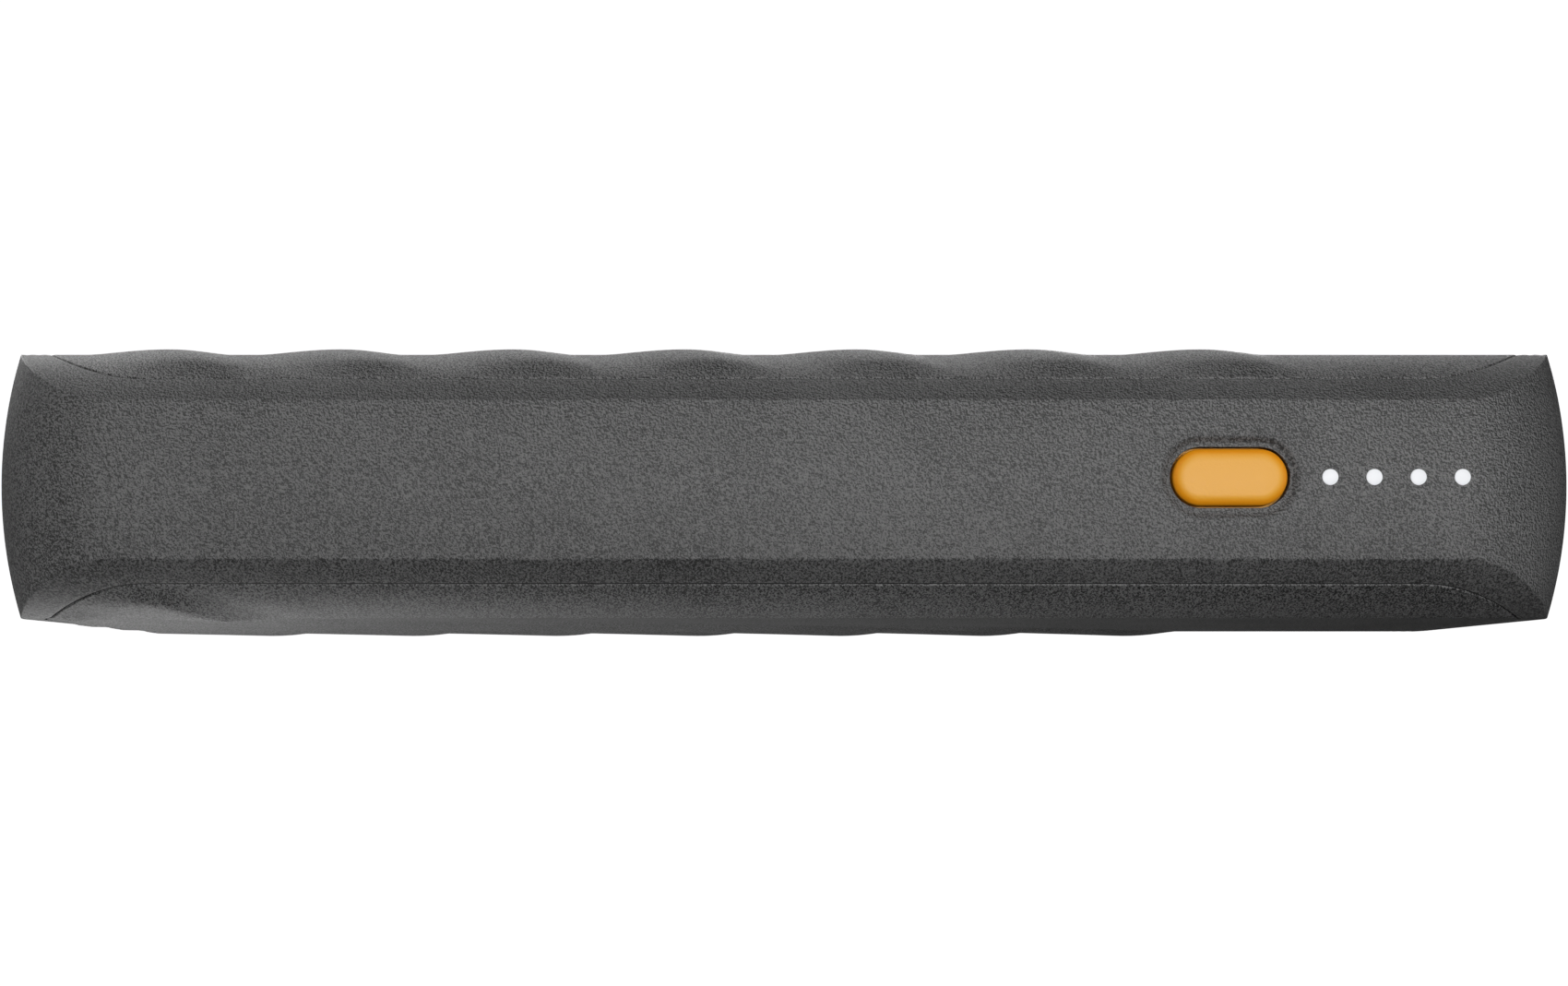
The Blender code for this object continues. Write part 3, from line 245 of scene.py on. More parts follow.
def cut(obj, cutter):
    """Takes the cutter out of the object and removes the cutter."""
    modifier = obj.modifiers.new("cut", "BOOLEAN")
    modifier.operation = "DIFFERENCE"
    modifier.solver = "EXACT"
    modifier.object = cutter
    evaluated = obj.evaluated_get(bpy.context.evaluated_depsgraph_get())
    mesh = bpy.data.meshes.new_from_object(evaluated)
    obj.modifiers.clear()
    obj.data = mesh
    bpy.data.objects.remove(cutter)
    mesh.set_sharp_from_angle(angle=SMOOTH_ANGLE)


# ---------------------------------------------------------------- middle frame


def perimeter(dense_from, dense_to):
    """Places round the body: ('arc', corner, angle) or ('side', number, share), from the +X end on."""
    places = []
    arc_steps = 26
    for quarter in range(4):
        for step in range(arc_steps):
            places.append(("arc", quarter, math.pi / 2 * (quarter + step / arc_steps)))
        if quarter in (1, 3):
            shares = [i / 22 for i in range(22)]
        elif quarter == 0:
            shares = [i / 60 for i in range(60)]
        else:
            straight = HALF_L - CORNER
            xs = [-straight + 3.0 * MM * i for i in range(int((dense_from + straight) / (3.0 * MM)) + 1)]
            x = xs[-1]
            while x < dense_to:
                x += 0.3 * MM
                xs.append(x)
            while x < straight - 2.0 * MM:
                x += 2.0 * MM
                xs.append(x)
            shares = [(x + straight) / (2 * straight) for x in xs if x < straight - 0.5 * MM]
        places += [("side", quarter, share) for share in shares]
    return places


SIGNS = ((1, 1), (-1, 1), (-1, -1), (1, -1))


def outline_point(place, a, b, r):
    kind, quarter, value = place
    if kind == "arc":
        sx, sy = SIGNS[quarter]
        return sx * (a - r) + r * math.cos(value), sy * (b - r) + r * math.sin(value)
    turn = math.pi / 2 * (quarter + 1)
    start = SIGNS[quarter]
    end = SIGNS[(quarter + 1) % 4]
    cx = (start[0] * (1 - value) + end[0] * value) * (a - r)
    cy = (start[1] * (1 - value) + end[1] * value) * (b - r)
    return cx + r * math.cos(turn), cy + r * math.sin(turn)


def inset_of(x, y):
    """How far a point lies inside the outline at the middle height."""
    dx = abs(x) - (HALF_L - CORNER)
    dy = abs(y) - (HALF_W - CORNER)
    if dx > 0 and dy > 0:
        return CORNER - math.hypot(dx, dy)
    return CORNER - max(dx, dy)


def rim_section(place):
    """One section of the frame's outside, from the middle height up and in to the seam."""
    outer = Vector(outline_point(place, HALF_L, HALF_W, CORNER))
    line = SEAM_LINE / 2
    inner = Vector(outline_point(place, SEAM_L + line, SEAM_W + line, SEAM_CORNER + line))

    def at(t):
        return outer.lerp(inner, t)

    def wall_z(t):
        p = at(t)
        return wall_height(inset_of(p.x, p.y))

    def crown_z(t):
        return HALF_T - crown_drop(HALF_W - abs(at(t).y))

    def find(test):
        low, high = 0.0, 1.0
        for _ in range(40):
            middle = (low + high) / 2
            if test(middle):
                high = middle
            else:
                low = middle
        return (low + high) / 2

    crease = find(lambda t: wall_z(t) >= crown_z(t))
    crease_z = crown_z(crease)
    span = (outer - inner).length
    section = []
    fine = 24
    tops = [0.70 * i / fine for i in range(fine)] + [0.70 + 0.30 * i / 7 for i in range(8)]
    corner = Vector((crease * span, crease_z))

    def wall_at(z):
        if z <= 0:
            return 0.0
        return find(lambda t: wall_z(t) >= z)

    last = crease_z - EDGE_ROUND
    for share in tops:
        z = share * last
        section.append((wall_at(z), z))
    start = Vector((wall_at(last) * span, last))
    first_t = crease + EDGE_ROUND / span
    end = Vector((first_t * span, crown_z(first_t)))
    for i in range(1, 5):
        u = i / 5
        p = start * (1 - u) ** 2 + corner * 2 * u * (1 - u) + end * u**2
        section.append((p.x / span, p.y))
    seam_t = 1 - SEAM_ROUND / span
    count = 9
    for i in range(count + 1):
        t = first_t + (seam_t - first_t) * i / count
        section.append((t, crown_z(t)))
    seam_z = crown_z(1.0)
    start = Vector((seam_t * span, crown_z(seam_t)))
    end = Vector((span, seam_z - SEAM_ROUND))
    for i in range(1, 4):
        u = i / 3
        p = start * (1 - u) ** 2 + Vector((span, seam_z)) * 2 * u * (1 - u) + end * u**2
        section.append((p.x / span, p.y))
    return [(*at(t), z) for t, z in section]


def dish_push(x, z):
    """How far the wall is pushed in by the dish round the button."""
    straight = (BUTTON_LENGTH - BUTTON_HEIGHT) / 2
    across = max(0.0, abs(x - BUTTON_X) - straight)
    away = math.hypot(across, z - CONTROLS_Z)
    upright = abs(z - CONTROLS_Z) / away if away else 1.0
    lip = LIP_WIDTH * (LIP_END + (1 - LIP_END) * upright)
    slope = DISH_WIDTH * (DISH_END + (1 - DISH_END) * upright)
    share = min(1.0, max(0.0, (away - BUTTON_HEIGHT / 2 - lip) / slope))
    return DISH_DEPTH * (1 - share) ** 2


def middle_frame():
    places = perimeter(BUTTON_X - 10.5 * MM, BUTTON_X + 10.5 * MM)
    sections = [rim_section(place) for place in places]
    shelf_top = HALF_T - SKIRT_DEPTH - FIT
    shelf_foot = shelf_top - SHELF_THICKNESS
    line = SEAM_LINE / 2
    pocket = (SEAM_L + line, SEAM_W + line, SEAM_CORNER + line)
    narrow = (SEAM_L - SHELF_REACH, SEAM_W - SHELF_REACH, SEAM_CORNER - SHELF_REACH)
    cavity = (HALF_L - WALL, HALF_W - WALL, CORNER - WALL)
    inside = [(pocket, shelf_top), (narrow, shelf_top), (narrow, shelf_foot), (cavity, shelf_foot)]
    upper = [[section[i] for section in sections] for i in range(len(sections[0]))]
    for form, z in inside:
        upper.append([(*outline_point(place, *form), z) for place in places])
    lower = [[(x, y, -z) for x, y, z in ring] for ring in reversed(upper[1:])]
    rings = []
    for ring in lower + upper:
        moved = []
        for x, y, z in ring:
            if y < -HALF_W + 1.6 * MM and abs(z) < 9.0 * MM:
                y += dish_push(x, z)
            moved.append((x, y, z + CENTRE_Z))
        rings.append(moved)
    maker = bmesh.new()
    skin(maker, rings, closed=True)
    obj = new_object("frame_skin", maker)

    face = -HALF_W + DISH_DEPTH
    maker = bmesh.new()
    edge = 0.12 * MM
    levels = [
        (face - 1.5 * MM, edge + 1.38 * MM),
        (face + edge, 0.0),
        (face + 4.0 * MM, 0.0),
    ]
    skin(maker, [button_ring(y, BUTTON_LINE + extra) for y, extra in levels])
    cut(obj, new_object("button_cutter", maker))

    hole = LIGHT_RADIUS + LIGHT_LINE
    for x in LIGHT_XS:
        profile = [(hole, -HALF_W - 5 * MM), (hole, -HALF_W + 4 * MM)]
        cut(obj, turned_along_y("light_cutter", x, profile))
    for node, radius in SOCKETS:
        low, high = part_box(node)
        a = (high[1] - low[1]) / 2 + SOCKET_GAP
        b = (high[2] - low[2]) / 2 + SOCKET_GAP
        levels = [
            (HALF_L - 4.0 * MM, 0.0),
            (HALF_L - SOCKET_FLARE, 0.0),
            (HALF_L + 2.0 * MM, 2.0 * MM + SOCKET_FLARE),
        ]
        maker = bmesh.new()
        rings = []
        for x, grow in levels:
            form = rounded_rectangle(a + grow, b + grow, radius + SOCKET_GAP + grow)
            rings.append(end_ring(form, x, middle_of(node)))
        skin(maker, rings)
        cut(obj, new_object("socket_cutter", maker))
    return obj


def end_ring(form, x, middle):
    """A flat form set upright at this x, about a middle point."""
    return [(x, middle.y + y, middle.z + z) for y, z in form]


def turned_along_y(name, x, profile, sides=40):
    """A round piece at the height of the controls, turned from (radius, y) pairs."""
    maker = bmesh.new()
    rings = []
    for radius, y in profile:
        ring = []
        for i in range(sides):
            t = 2 * math.pi * i / sides
            ring.append((x + radius * math.cos(t), y, CENTRE_Z + CONTROLS_Z + radius * math.sin(t)))
        rings.append(ring)
    skin(maker, rings)
    return new_object(name, maker)


# ---------------------------------------------------------------- covers


def cover(name, upside_down):
    """A ribbed cover whose grid follows the ridges and ends on the seam's outline."""
    line = SEAM_LINE / 2
    a = SEAM_L - line - SEAM_ROUND
    b = SEAM_W - line - SEAM_ROUND
    r = SEAM_CORNER - line - SEAM_ROUND
    arc_rows = 34
    side_rows = 46
    ys = [-(b - r) - r * math.cos(math.pi / 2 * i / arc_rows) for i in range(arc_rows)]
    ys += [-(b - r) + 2 * (b - r) * i / side_rows for i in range(side_rows + 1)]
    ys += [-y for y in reversed(ys[:arc_rows])]
    margin, between = 0.02, 17  # a column just beside each crease, and the steps from one to the next
    phases = [0.0, margin]
    phases += [margin + (1 - 2 * margin) * i / between for i in range(1, between)]
    phases.append(1 - margin)
    span = 2 * SEAM_W
    first = math.floor((-HALF_L - FIRST_CREASE) / RIB_PITCH) - 1
    last = math.ceil((HALF_L + rib_shift(span) - FIRST_CREASE) / RIB_PITCH) + 1
    columns = [FIRST_CREASE + RIB_PITCH * (turn + phase) for turn in range(first, last) for phase in phases]
    maker = bmesh.new()
    grid = []
    for y in ys:
        back = rib_shift(max(0.0, y + SEAM_W))
        over = max(0.0, abs(y) - (b - r))
        reach = a - r + math.sqrt(max(0.0, r * r - over * over))
        row = []
        for along in columns:
            x = min(reach, max(-reach, along - back))
            z = HALF_T - crown_drop(HALF_W - abs(y)) + rib_height(x, y, x + back)
            row.append(maker.verts.new((x, y, z)))
        grid.append(row)
    for low, high in zip(grid, grid[1:]):
        for c in range(len(columns) - 1):
            maker.faces.new((low[c], low[c + 1], high[c + 1], high[c]))
    bmesh.ops.remove_doubles(maker, verts=maker.verts, dist=0.004 * MM)
    loop = border_loop(maker)

    def outward(p):
        """The level direction that leads out of the outline at this point."""
        cx = max(-(a - r), min(a - r, p.x))
        cy = max(-(b - r), min(b - r, p.y))
        way = Vector((p.x - cx, p.y - cy, 0))
        if abs(way.x) < 1e-7 or abs(way.y) < 1e-7 or way.length < r * 0.9:
            if abs(p.x) > a - 1e-6:
                way = Vector((math.copysign(1, p.x), 0, 0))
            else:
                way = Vector((0, math.copysign(1, p.y), 0))
        return way.normalized()

    ways = [outward(v.co) for v in loop]
    rings = [loop]
    for i in range(1, 4):
        t = math.pi / 2 * i / 3
        fall = Vector((0, 0, SEAM_ROUND * (1 - math.cos(t))))
        rings.append([maker.verts.new(v.co + w * SEAM_ROUND * math.sin(t) - fall) for v, w in zip(loop, ways)])
    foot = HALF_T - SKIRT_DEPTH
    rings.append([maker.verts.new((v.co.x, v.co.y, foot)) for v in rings[-1]])
    wall = COVER_WALL + SEAM_ROUND
    inner = [v.co - w * wall for v, w in zip(loop, ways)]
    shoulder = HALF_T - crown_drop(HALF_W - b + wall) - COVER_WALL - FIT
    narrow = (HALF_W - CROWN_WIDTH - FIT) / (b - wall)
    rings.append([maker.verts.new((p.x, p.y, foot)) for p in inner])
    rings.append([maker.verts.new((p.x, p.y, shoulder)) for p in inner])
    rings.append([maker.verts.new((p.x, p.y * narrow, HALF_T - COVER_WALL)) for p in inner])
    count = len(loop)
    for upper, lower in zip(rings, rings[1:]):
        for i in range(count):
            j = (i + 1) % count
            maker.faces.new((upper[i], lower[i], lower[j], upper[j]))
    maker.faces.new(rings[-1])
    obj = new_object(name + "_skin", maker, sharp=math.radians(40))
    turn = -1 if upside_down else 1
    for vertex in obj.data.vertices:
        x, y, z = vertex.co
        vertex.co = (x, y * turn, z * turn + CENTRE_Z)
    obj.data.update()
    return obj


def seam_shadow_sheet(name, upside_down):
    """A thin dark strip round the cover's side, seen only through the gap of the seam: painted shadow
    filling the gap, not a part of the power bank.
    """
    inner = SEAM_LINE / 2 - SHADOW_SHEET_OVERLAP
    outer = inner - SHADOW_SHEET
    turn = -1 if upside_down else 1
    foot = HALF_T - SKIRT_DEPTH

    def ring(by, up):
        points = rounded_rectangle(SEAM_L - by, SEAM_W - by, SEAM_CORNER - by, 24)
        if not up:
            return [(x, y, foot * turn + CENTRE_Z) for x, y in points]
        tops = [HALF_T - crown_drop(HALF_W - abs(y)) - SEAM_ROUND - SHADOW_SHEET_DROP for x, y in points]
        return [(x, y, z * turn + CENTRE_Z) for (x, y), z in zip(points, tops)]

    maker = bmesh.new()
    skin(maker, [ring(inner, False), ring(outer, False), ring(outer, True), ring(inner, True)], closed=True)
    return new_object(name, maker)


def border_loop(maker):
    """The vertices round a grid's open edge, in order."""
    edges = [e for e in maker.edges if len(e.link_faces) == 1]
    start = edges[0].verts[0]
    loop, previous, current = [start], None, start
    while True:
        options = [e.other_vert(current) for e in current.link_edges if len(e.link_faces) == 1]
        following = [v for v in options if v is not previous][0]
        if following is start:
            return loop
        loop.append(following)
        previous, current = current, following


# ---------------------------------------------------------------- button and light points


def button():
    """A slot-shaped cap with rolled edges and a slightly crowned face, on its flange."""
    face = -HALF_W - BUTTON_PROUD
    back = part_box("power_button")[1][1]
    flange_front = back - FLANGE_THICKNESS
    levels = [(back, FLANGE_REACH), (flange_front, FLANGE_REACH), (flange_front, 0.0)]
    steps = 10
    for i in range(steps + 1):
        t = math.pi / 2 * i / steps
        levels.append((face + ROLL_DEPTH * (1 - math.sin(t)) + CROWN_RIM, -ROLL_WIDTH * (1 - math.cos(t))))
    levels += [(face + depth, inset) for depth, inset in CROWN]
    maker = bmesh.new()
    skin(maker, [button_ring(y, grow) for y, grow in levels])
    return new_object("button_cap", maker, sharp=math.radians(50))


def light_pipe():
    """Four round windows, flush with the wall, and the bar behind it that joins them."""
    low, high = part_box("light_pipe")
    face = -HALF_W
    pieces = []
    for i, x in enumerate(LIGHT_XS):
        profile = [
            (LIGHT_RADIUS, high[1] - 0.6 * MM),
            (LIGHT_RADIUS, face + LIGHT_EDGE),
            (LIGHT_RADIUS - LIGHT_EDGE * 0.3, face + LIGHT_EDGE * 0.3),
            (LIGHT_RADIUS - LIGHT_EDGE, face),
        ]
        pieces.append(turned_along_y(f"light_window_{i + 1}", x, profile))
    maker = bmesh.new()
    bar = rounded_rectangle((high[0] - low[0]) / 2, (high[2] - low[2]) / 2, LIGHT_BAR_CORNER, 5)
    middle = middle_of("light_pipe")
    rings = [[(middle.x + x, y, middle.z + z) for x, z in bar] for y in (high[1] - LIGHT_BAR, high[1])]
    skin(maker, rings)
    pieces.append(new_object("light_bar", maker))
    return pieces


# ---------------------------------------------------------------- sockets


def shell(node, radius):
    """A drawn metal shell with a rounded lip at its mouth."""
    low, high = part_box(node)
    a, b = (high[1] - low[1]) / 2, (high[2] - low[2]) / 2
    mouth, back = high[0], low[0]
    lip_start, back_round = mouth - SHELL_LIP, 0.25 * MM
    levels = [
        (back, -back_round),
        (back + back_round, 0.0),
        (lip_start, 0.0),
        (mouth - SHELL_LIP * 0.3, -SHELL_LIP * 0.3),
        (mouth, -SHELL_LIP),
        (mouth, -SHELL_SHEET + SHELL_LIP),
        (lip_start, -SHELL_SHEET),
        (back + SHELL_SHEET, -SHELL_SHEET),
    ]
    maker = bmesh.new()
    rings = []
    for x, grow in levels:
        form = rounded_rectangle(a + grow, b + grow, max(radius + grow, 0.08 * MM), 8)
        rings.append(end_ring(form, x, middle_of(node)))
    skin(maker, rings)
    return new_object(node.replace("_shell", "_can"), maker)


def box_piece(name, low, high, bevel):
    """A bevelled block between two corners."""
    maker = bmesh.new()
    bmesh.ops.create_cube(maker, size=1.0)
    size = Vector(high) - Vector(low)
    middle = (Vector(high) + Vector(low)) / 2
    for v in maker.verts:
        v.co = Vector((v.co.x * size.x, v.co.y * size.y, v.co.z * size.z)) + middle
    bmesh.ops.bevel(maker, geom=maker.edges[:], offset=bevel, segments=2, affect="EDGES")
    return new_object(name, maker)


def contacts(node, is_a):
    """Gilt contacts on the socket's tongue."""
    low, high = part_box(node)
    y = (low[1] + high[1]) / 2
    z = CENTRE_Z
    front = high[0]
    pieces = []
    count, pitch, half = (4, 2.3 * MM, 0.5 * MM) if is_a else (6, 0.9 * MM, 0.2 * MM)
    faces = [z + 0.55 * MM - 0.14 * MM] if is_a else [z - 0.35 * MM - 0.14 * MM, z + 0.35 * MM + 0.02 * MM]
    back = front - (6.0 * MM if is_a else 4.6 * MM)
    for row, bottom in enumerate(faces):
        for i in range(count):
            centre = y + (i - (count - 1) / 2) * pitch
            name = node.replace("_tongue", f"_contact_{row * count + i + 1}")
            near = (back, centre - half, bottom)
            far = (front - CONTACT_SET_BACK, centre + half, bottom + CONTACT_THICKNESS)
            pieces.append(box_piece(name, near, far, CONTACT_BEVEL))
    return pieces


# ---------------------------------------------------------------- materials


def shader_of(name, colour, roughness, metallic=0.0):
    made = bpy.data.materials.new(name)
    made.use_nodes = True
    nodes, links = made.node_tree.nodes, made.node_tree.links
    shader = nodes["Principled BSDF"]
    shader.inputs["Base Color"].default_value = (*colour, 1.0)
    shader.inputs["Roughness"].default_value = roughness
    shader.inputs["Metallic"].default_value = metallic
    return made, nodes, links, shader


def noise(nodes, links, coordinates, scale, detail=2.0, distortion=0.0, roughness=0.5):
    node = nodes.new("ShaderNodeTexNoise")
    node.inputs["Scale"].default_value = scale
    node.inputs["Detail"].default_value = detail
    node.inputs["Distortion"].default_value = distortion
    node.inputs["Roughness"].default_value = roughness
    links.new(coordinates, node.inputs["Vector"])
    return node.outputs["Fac"]


def spread(nodes, links, value, low, high, to_low, to_high):
    node = nodes.new("ShaderNodeMapRange")
    for socket, number in (("From Min", low), ("From Max", high), ("To Min", to_low), ("To Max", to_high)):
        node.inputs[socket].default_value = number
    links.new(value, node.inputs["Value"])
    return node.outputs["Result"]


def mix_values(nodes, links, operation, first, second):
    node = nodes.new("ShaderNodeMath")
    node.operation = operation
    for i, value in enumerate((first, second)):
        if isinstance(value, (int, float)):
            node.inputs[i].default_value = value
        else:
            links.new(value, node.inputs[i])
    return node.outputs["Value"]


def mix_colours(nodes, links, share, first, second):
    node = nodes.new("ShaderNodeMix")
    node.data_type = "RGBA"
    links.new(share, node.inputs[0])
    node.inputs[6].default_value = (*first, 1.0)
    node.inputs[7].default_value = (*second, 1.0)
    return node.outputs[2]


def two_tones(colour, tone_and_painted_shade):
    dark = tuple(c * (1 - tone_and_painted_shade) for c in colour)
    light = tuple(min(1.0, c * (1 + tone_and_painted_shade)) for c in colour)
    return dark, light


def grained(name, colour, roughness, depth, grain=3800.0, tone_and_painted_shade=0.3, gloss=0.05, half=0.11):
    """Moulded plastic with a fine eroded grain. With a tone, the colour is darker on one flank of each
    grain, where the height beside it, one grain step away, is lower, and darker in the grain's hollows:
    painted shade and painted highlight of the grain's relief, with a slight random tone."""
    made, nodes, links, shader = shader_of(name, colour, roughness)
    coordinates = nodes.new("ShaderNodeTexCoord").outputs["Object"]
    height = noise(nodes, links, coordinates, grain, *GRAIN_NOISE)
    bump = nodes.new("ShaderNodeBump")
    bump.inputs["Strength"].default_value = 1.0
    bump.inputs["Distance"].default_value = depth
    links.new(height, bump.inputs["Height"])
    links.new(bump.outputs["Normal"], shader.inputs["Normal"])
    polish = spread(nodes, links, height, 0.3, 0.7, roughness + gloss, roughness - gloss)
    links.new(polish, shader.inputs["Roughness"])
    if not tone_and_painted_shade:
        return made
    moved = nodes.new("ShaderNodeVectorMath")
    moved.operation = "ADD"
    moved.inputs[1].default_value = PAINTED_SHADE_STEP
    links.new(coordinates, moved.inputs[0])
    beside = noise(nodes, links, moved.outputs[0], grain, *GRAIN_NOISE)
    drift = noise(nodes, links, coordinates, 60.0, 2.0)
    # Painted shade and painted highlight: each grain is darker on the flank where the height a grain step away
    # is lower and lighter on the other, as if lit from one side, and darker in its hollows; the drift adds a
    # slight random tone.
    painted_grain_shade_and_tone = mix_values(nodes, links, "SUBTRACT", beside, height)
    painted_grain_shade_and_tone = mix_values(nodes, links, "ADD", painted_grain_shade_and_tone, mix_values(nodes, links, "MULTIPLY", height, 0.3))
    painted_grain_shade_and_tone = mix_values(nodes, links, "ADD", painted_grain_shade_and_tone, mix_values(nodes, links, "MULTIPLY", drift, 0.1))
    middle = 0.20
    share = spread(nodes, links, painted_grain_shade_and_tone, middle - half, middle + half, 0.0, 1.0)
    dark, light = two_tones(colour, tone_and_painted_shade)
    links.new(mix_colours(nodes, links, share, dark, light), shader.inputs["Base Color"])
    return made


def speckled(name, colour, roughness, metallic=0.0, scale=900.0, tone_and_painted_shade=0.15, depth=0.006 * MM):
    """A plain finish with slight variation in tone and polish."""
    made, nodes, links, shader = shader_of(name, colour, roughness, metallic)
    coordinates = nodes.new("ShaderNodeTexCoord").outputs["Object"]
    fine = noise(nodes, links, coordinates, scale, 2.0)
    dark, light = two_tones(colour, tone_and_painted_shade)
    links.new(mix_colours(nodes, links, fine, dark, light), shader.inputs["Base Color"])
    polish = spread(nodes, links, fine, 0.3, 0.7, roughness - 0.05, roughness + 0.05)
    links.new(polish, shader.inputs["Roughness"])
    bump = nodes.new("ShaderNodeBump")
    bump.inputs["Strength"].default_value = 0.5
    bump.inputs["Distance"].default_value = depth
    links.new(fine, bump.inputs["Height"])
    links.new(bump.outputs["Normal"], shader.inputs["Normal"])
    return made


def paint_face_sheen_and_rim_shade(made, front, rim):
    """Colours the faces that look out of the near side one way and the rolled edges another: painted sheen
    makes the front face a little paler and painted shade makes the rolled edges a deeper orange.
    """
    face_on, edge_on = -0.99, -0.86  # the normal's Y, where the one colour ends and the other is full
    nodes, links = made.node_tree.nodes, made.node_tree.links
    parts = nodes.new("ShaderNodeSeparateXYZ")
    links.new(nodes.new("ShaderNodeTexCoord").outputs["Normal"], parts.inputs[0])
    turned = spread(nodes, links, parts.outputs["Y"], face_on, edge_on, 0.0, 1.0)
    links.new(mix_colours(nodes, links, turned, front, rim), nodes["Principled BSDF"].inputs["Base Color"])


def give(obj, made):
    obj.data.materials.clear()
    obj.data.materials.append(made)


def place(obj, body, slot, made, *nodes):
    give(obj, made)
    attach(obj, body)
    if nodes:
        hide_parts(*nodes)


# ---------------------------------------------------------------- the object

# The casing's grain tone is mostly painted shade and painted highlight on the grain's flanks and hollows.
grey = grained("moulded_grey", (0.083, 0.083, 0.083), 0.56, 0.07 * MM, tone_and_painted_shade=0.76, half=0.075)
cover_grey = grained("cover_grey", (0.083, 0.083, 0.083), 0.56, 0.08 * MM, tone_and_painted_shade=0.95, half=0.055)
amber = grained("moulded_amber", (0.87, 0.40, 0.004), 0.46, 0.02 * MM, grain=2800.0, tone_and_painted_shade=0.0, gloss=0.03)
# Painted sheen on the button's front face and painted shade on its rolled edges.
paint_face_sheen_and_rim_shade(amber, (0.87, 0.405, 0.02), (0.86, 0.31, 0.001))
white = speckled("light_window", (0.60, 0.61, 0.63), 0.45, scale=500.0, tone_and_painted_shade=0.02, depth=0.002 * MM)
# The windows are given a faint even glow: painted light that keeps them flat white.
white.node_tree.nodes["Principled BSDF"].inputs["Emission Color"].default_value = (0.96, 0.97, 1.0, 1.0)
white.node_tree.nodes["Principled BSDF"].inputs["Emission Strength"].default_value = 0.34
steel = speckled("plated_steel", (0.70, 0.70, 0.72), 0.28, 1.0, 1200.0, 0.06)
gilt = speckled("gilt_contact", (0.83, 0.60, 0.24), 0.28, 1.0, 1500.0, 0.05)
black = speckled("socket_insulator", (0.025, 0.025, 0.027), 0.45, 0.0, 1300.0, 0.2)

place(middle_frame(), "casing", "textured_grey", grey, "middle_frame")
place(cover("top_cover", False), "casing", "textured_grey", cover_grey, "top_cover")
place(cover("bottom_cover", True), "casing", "textured_grey", cover_grey, "bottom_cover")
# Painted shadow: a near-black sheet in each seam's gap, where the casing has only shade.
gap_shadow = speckled("seam_shadow_sheet", (0.012, 0.012, 0.012), 0.8, 0.0, 1500.0, 0.2)
place(seam_shadow_sheet("top_seam_liner", False), "casing", "textured_grey", gap_shadow)
place(seam_shadow_sheet("bottom_seam_liner", True), "casing", "textured_grey", gap_shadow)
place(button(), "button", "amber", amber, "power_button")
windows = light_pipe()
for window in windows:
    place(window, "casing", "light_white", white)
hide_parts("light_pipe")
for node, radius in SOCKETS:
    place(shell(node, radius), "casing", "plated_steel", steel, node)
for node in ("usb_a_near_tongue", "usb_c_tongue", "usb_a_far_tongue"):
    for piece in contacts(node, "usb_a" in node):
        place(piece, "casing", "plated_steel", gilt)

finishes = {
    "board_green": speckled("solder_mask", (0.02, 0.15, 0.06), 0.4, 0.0, 700.0, 0.2),
    "switch_black": speckled("switch_plastic", (0.02, 0.02, 0.02), 0.5),
    "brass": speckled("turned_brass", (0.72, 0.52, 0.2), 0.3, 1.0),
    "lamp_white": speckled("lamp_cap", (0.88, 0.88, 0.82), 0.3, 0.0, 900.0, 0.04),
    "cell_wrap": speckled("shrink_wrap", (0.06, 0.25, 0.45), 0.35, 0.0, 200.0, 0.1),
    "bracket_black": speckled("bracket_plastic", (0.03, 0.03, 0.03), 0.55),
    "nickel": speckled("nickel_strip", (0.66, 0.64, 0.60), 0.32, 1.0, 1500.0, 0.1),
    "foam": speckled("closed_foam", (0.05, 0.05, 0.055), 0.95, 0.0, 2500.0, 0.4, 0.1 * MM),
    "wire_black": speckled("black_insulation", (0.02, 0.02, 0.02), 0.45),
    "wire_red": speckled("red_insulation", (0.45, 0.02, 0.02), 0.45),
    "wire_white": speckled("white_insulation", (0.75, 0.75, 0.72), 0.45, 0.0, 600.0, 0.05),
    "plated_steel": steel,
    "socket_black": black,
    "ferrite": speckled("pressed_ferrite", (0.09, 0.09, 0.10), 0.7, 0.0, 2500.0, 0.3, 0.02 * MM),
    "can_aluminium": speckled("drawn_aluminium", (0.62, 0.62, 0.64), 0.3, 1.0, 1200.0, 0.06),
    "chip_black": speckled("chip_resin", (0.02, 0.02, 0.022), 0.5, 0.0, 2500.0, 0.2),
}
slots = {entry["node"]: entry["material_slot"] for entry in frame["record"]["subparts"]}
for node, obj in frame["nodes"].items():
    if slots[node] in finishes:
        for i in range(len(obj.data.materials)):
            obj.data.materials[i] = finishes[slots[node]]


# ---------------------------------------------------------------- stage


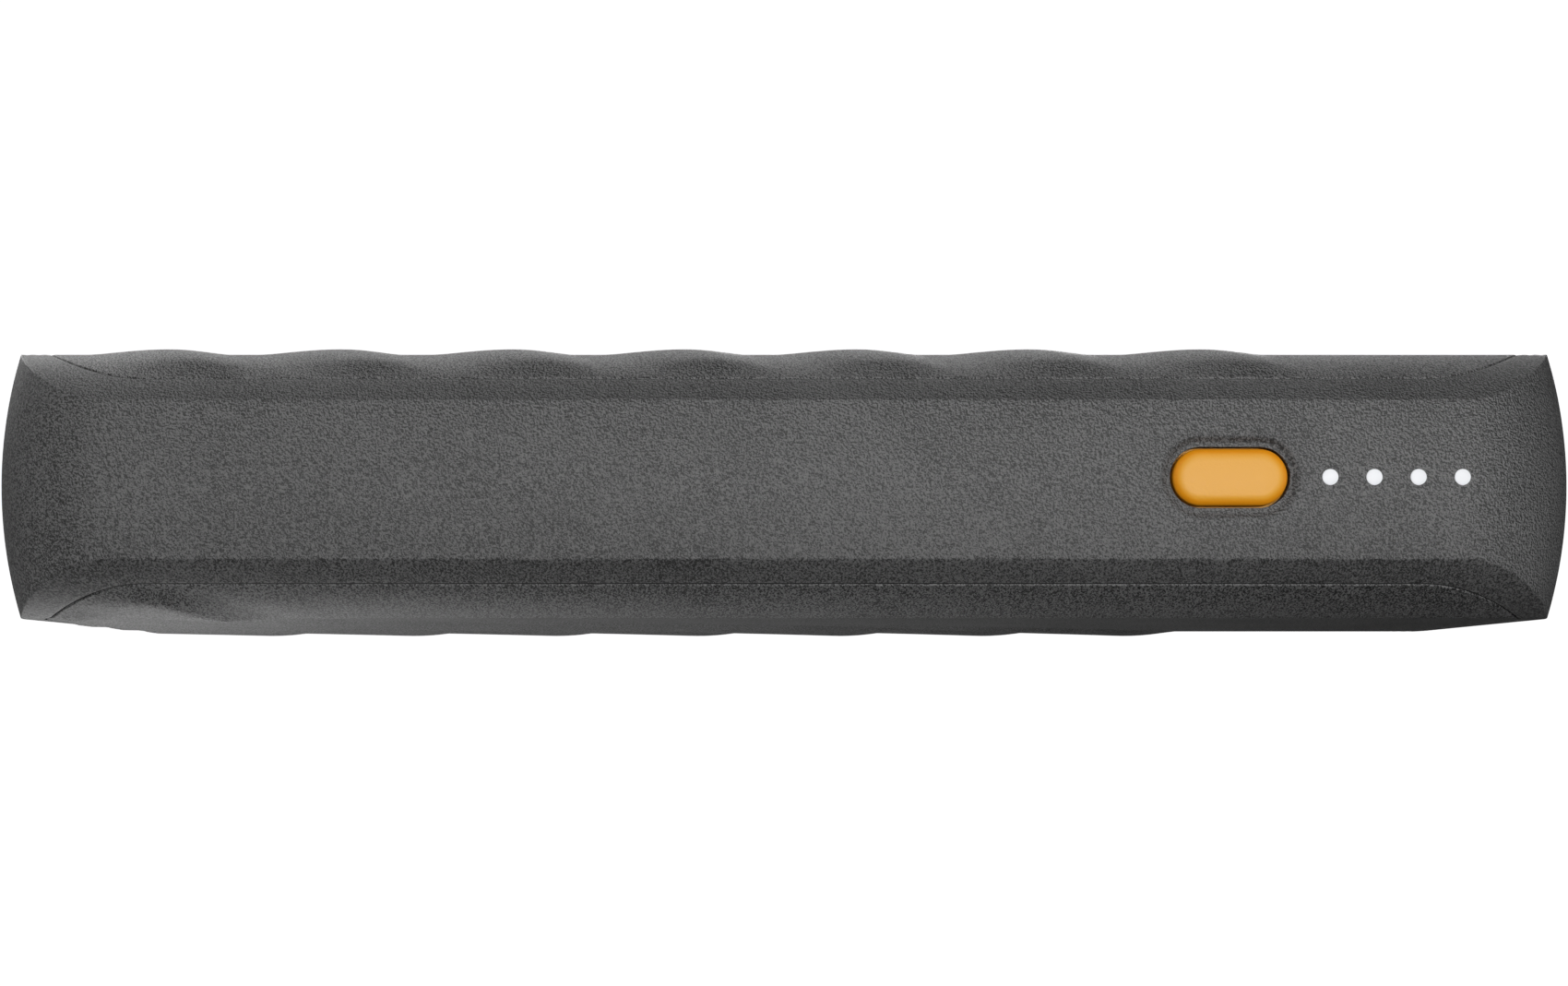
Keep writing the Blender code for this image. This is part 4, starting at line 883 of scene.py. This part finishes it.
STUDIO_LIGHTS = (  # name, place, width and height, power in watts
    ("front_level", (0.1, -1.3, 0.02), (0.5, 0.12), 5.2),
    ("front", (0.05, -1.2, 0.12), (0.6, 0.5), 0.7),
    ("front_right", (0.55, -1.1, 0.15), (0.6, 0.5), 2.9),
    ("front_tight", (0.1, -0.7, 0.04), (0.25, 0.1), 0.3),
    ("front_high", (0.2, -1.0, 0.7), (0.6, 0.5), 2.2),
    ("front_high_left", (-0.7, -0.8, 0.6), (0.6, 0.5), 1.0),
    ("left", (-1.0, -0.3, 0.05), (0.5, 0.5), 0.6),
    ("right", (1.0, -0.3, 0.05), (0.5, 0.5), 0.68),
    ("top_near_left", (-0.25, 0.1, 0.2), (0.15, 0.15), 0.34),
    ("top_back_left", (-0.3, 0.3, 0.25), (0.2, 0.2), 0.31),
    ("top_back", (0.0, 0.6, 0.6), (0.7, 0.5), 2.6),
    ("low_near_left", (-0.22, 0.05, -0.12), (0.15, 0.15), 0.1),
    ("low_near", (-0.12, 0.1, -0.12), (0.1, 0.1), 0.1),
    ("low_middle", (-0.05, 0.25, -0.3), (0.2, 0.2), 0.19),
    ("back", (0.2, 1.3, 0.35), (0.9, 0.3), 9.0),
)


FLOOR_HEIGHT, STUDIO_RADIUS = -0.6, 4.0  # low enough that a view from below isn't hidden by the floor
CAMERA_DISTANCE, CAMERA_DROP = 0.32075, 8.85 * MM
FOCAL_LENGTH, SENSOR_WIDTH, CAMERA_SHIFT = 56.66, 36.0, 0.128


def studio():
    """A round pale floor that runs into a pale dome, and the lights."""
    sides, dome_steps = 96, 24
    turns = [2 * math.pi * i / sides for i in range(sides)]
    climbs = [math.pi / 2 * i / dome_steps for i in range(dome_steps)]

    def ring(radius, z):
        return [(radius * math.cos(t), radius * math.sin(t), z) for t in turns]

    floor_rings = [ring(radius, FLOOR_HEIGHT) for radius in (0.02, 0.5, 2.0, STUDIO_RADIUS)]
    dome_rings = []
    for t in climbs:
        dome_rings.append(ring(STUDIO_RADIUS * math.cos(t), FLOOR_HEIGHT + STUDIO_RADIUS * math.sin(t)))
    made, _, _, shader = shader_of("pale_studio", (0.9, 0.9, 0.9), 0.9)
    shader.inputs["Emission Color"].default_value = (1.0, 1.0, 1.0, 1.0)
    shader.inputs["Emission Strength"].default_value = 1.0
    for name, rings, end in (("pale_floor", floor_rings, 0), ("pale_dome", dome_rings, -1)):
        maker = bmesh.new()
        loops = skin(maker, rings, caps=False)
        maker.faces.new(loops[end])
        obj = new_object(name, maker, sharp=None)
        give(obj, made)
        obj.visible_diffuse = obj.visible_glossy = obj.visible_transmission = obj.visible_shadow = False
    world = bpy.data.worlds.new("studio")
    bpy.context.scene.world = world
    world.use_nodes = True
    background = world.node_tree.nodes["Background"]
    background.inputs["Color"].default_value = (1.0, 1.0, 1.0, 1.0)
    background.inputs["Strength"].default_value = 0.02
    for name, where, size, power in STUDIO_LIGHTS:
        data = bpy.data.lights.new(name, "AREA")
        data.shape = "RECTANGLE"
        data.size, data.size_y = size
        data.energy = power
        lamp = bpy.data.objects.new(name, data)
        bpy.context.scene.collection.objects.link(lamp)
        lamp.location = where
        lamp.rotation_euler = (Vector((0, 0, CENTRE_Z)) - Vector(where)).to_track_quat("-Z", "Y").to_euler()
        lamp.visible_camera = False


def camera():
    """A level camera just below the underside's height, looking along +Y."""
    data = bpy.data.cameras.new("camera")
    data.lens = FOCAL_LENGTH
    data.sensor_width = SENSOR_WIDTH
    data.shift_y = CAMERA_SHIFT
    data.clip_start, data.clip_end = 0.01, 50.0
    obj = bpy.data.objects.new("camera", data)
    bpy.context.scene.collection.objects.link(obj)
    obj.location = (0.0, -CAMERA_DISTANCE, RIB_HEIGHT - CAMERA_DROP)
    obj.rotation_euler = (math.pi / 2, 0.0, 0.0)
    bpy.context.scene.camera = obj


studio()
camera()
bpy.context.scene.view_settings.view_transform = "Standard"
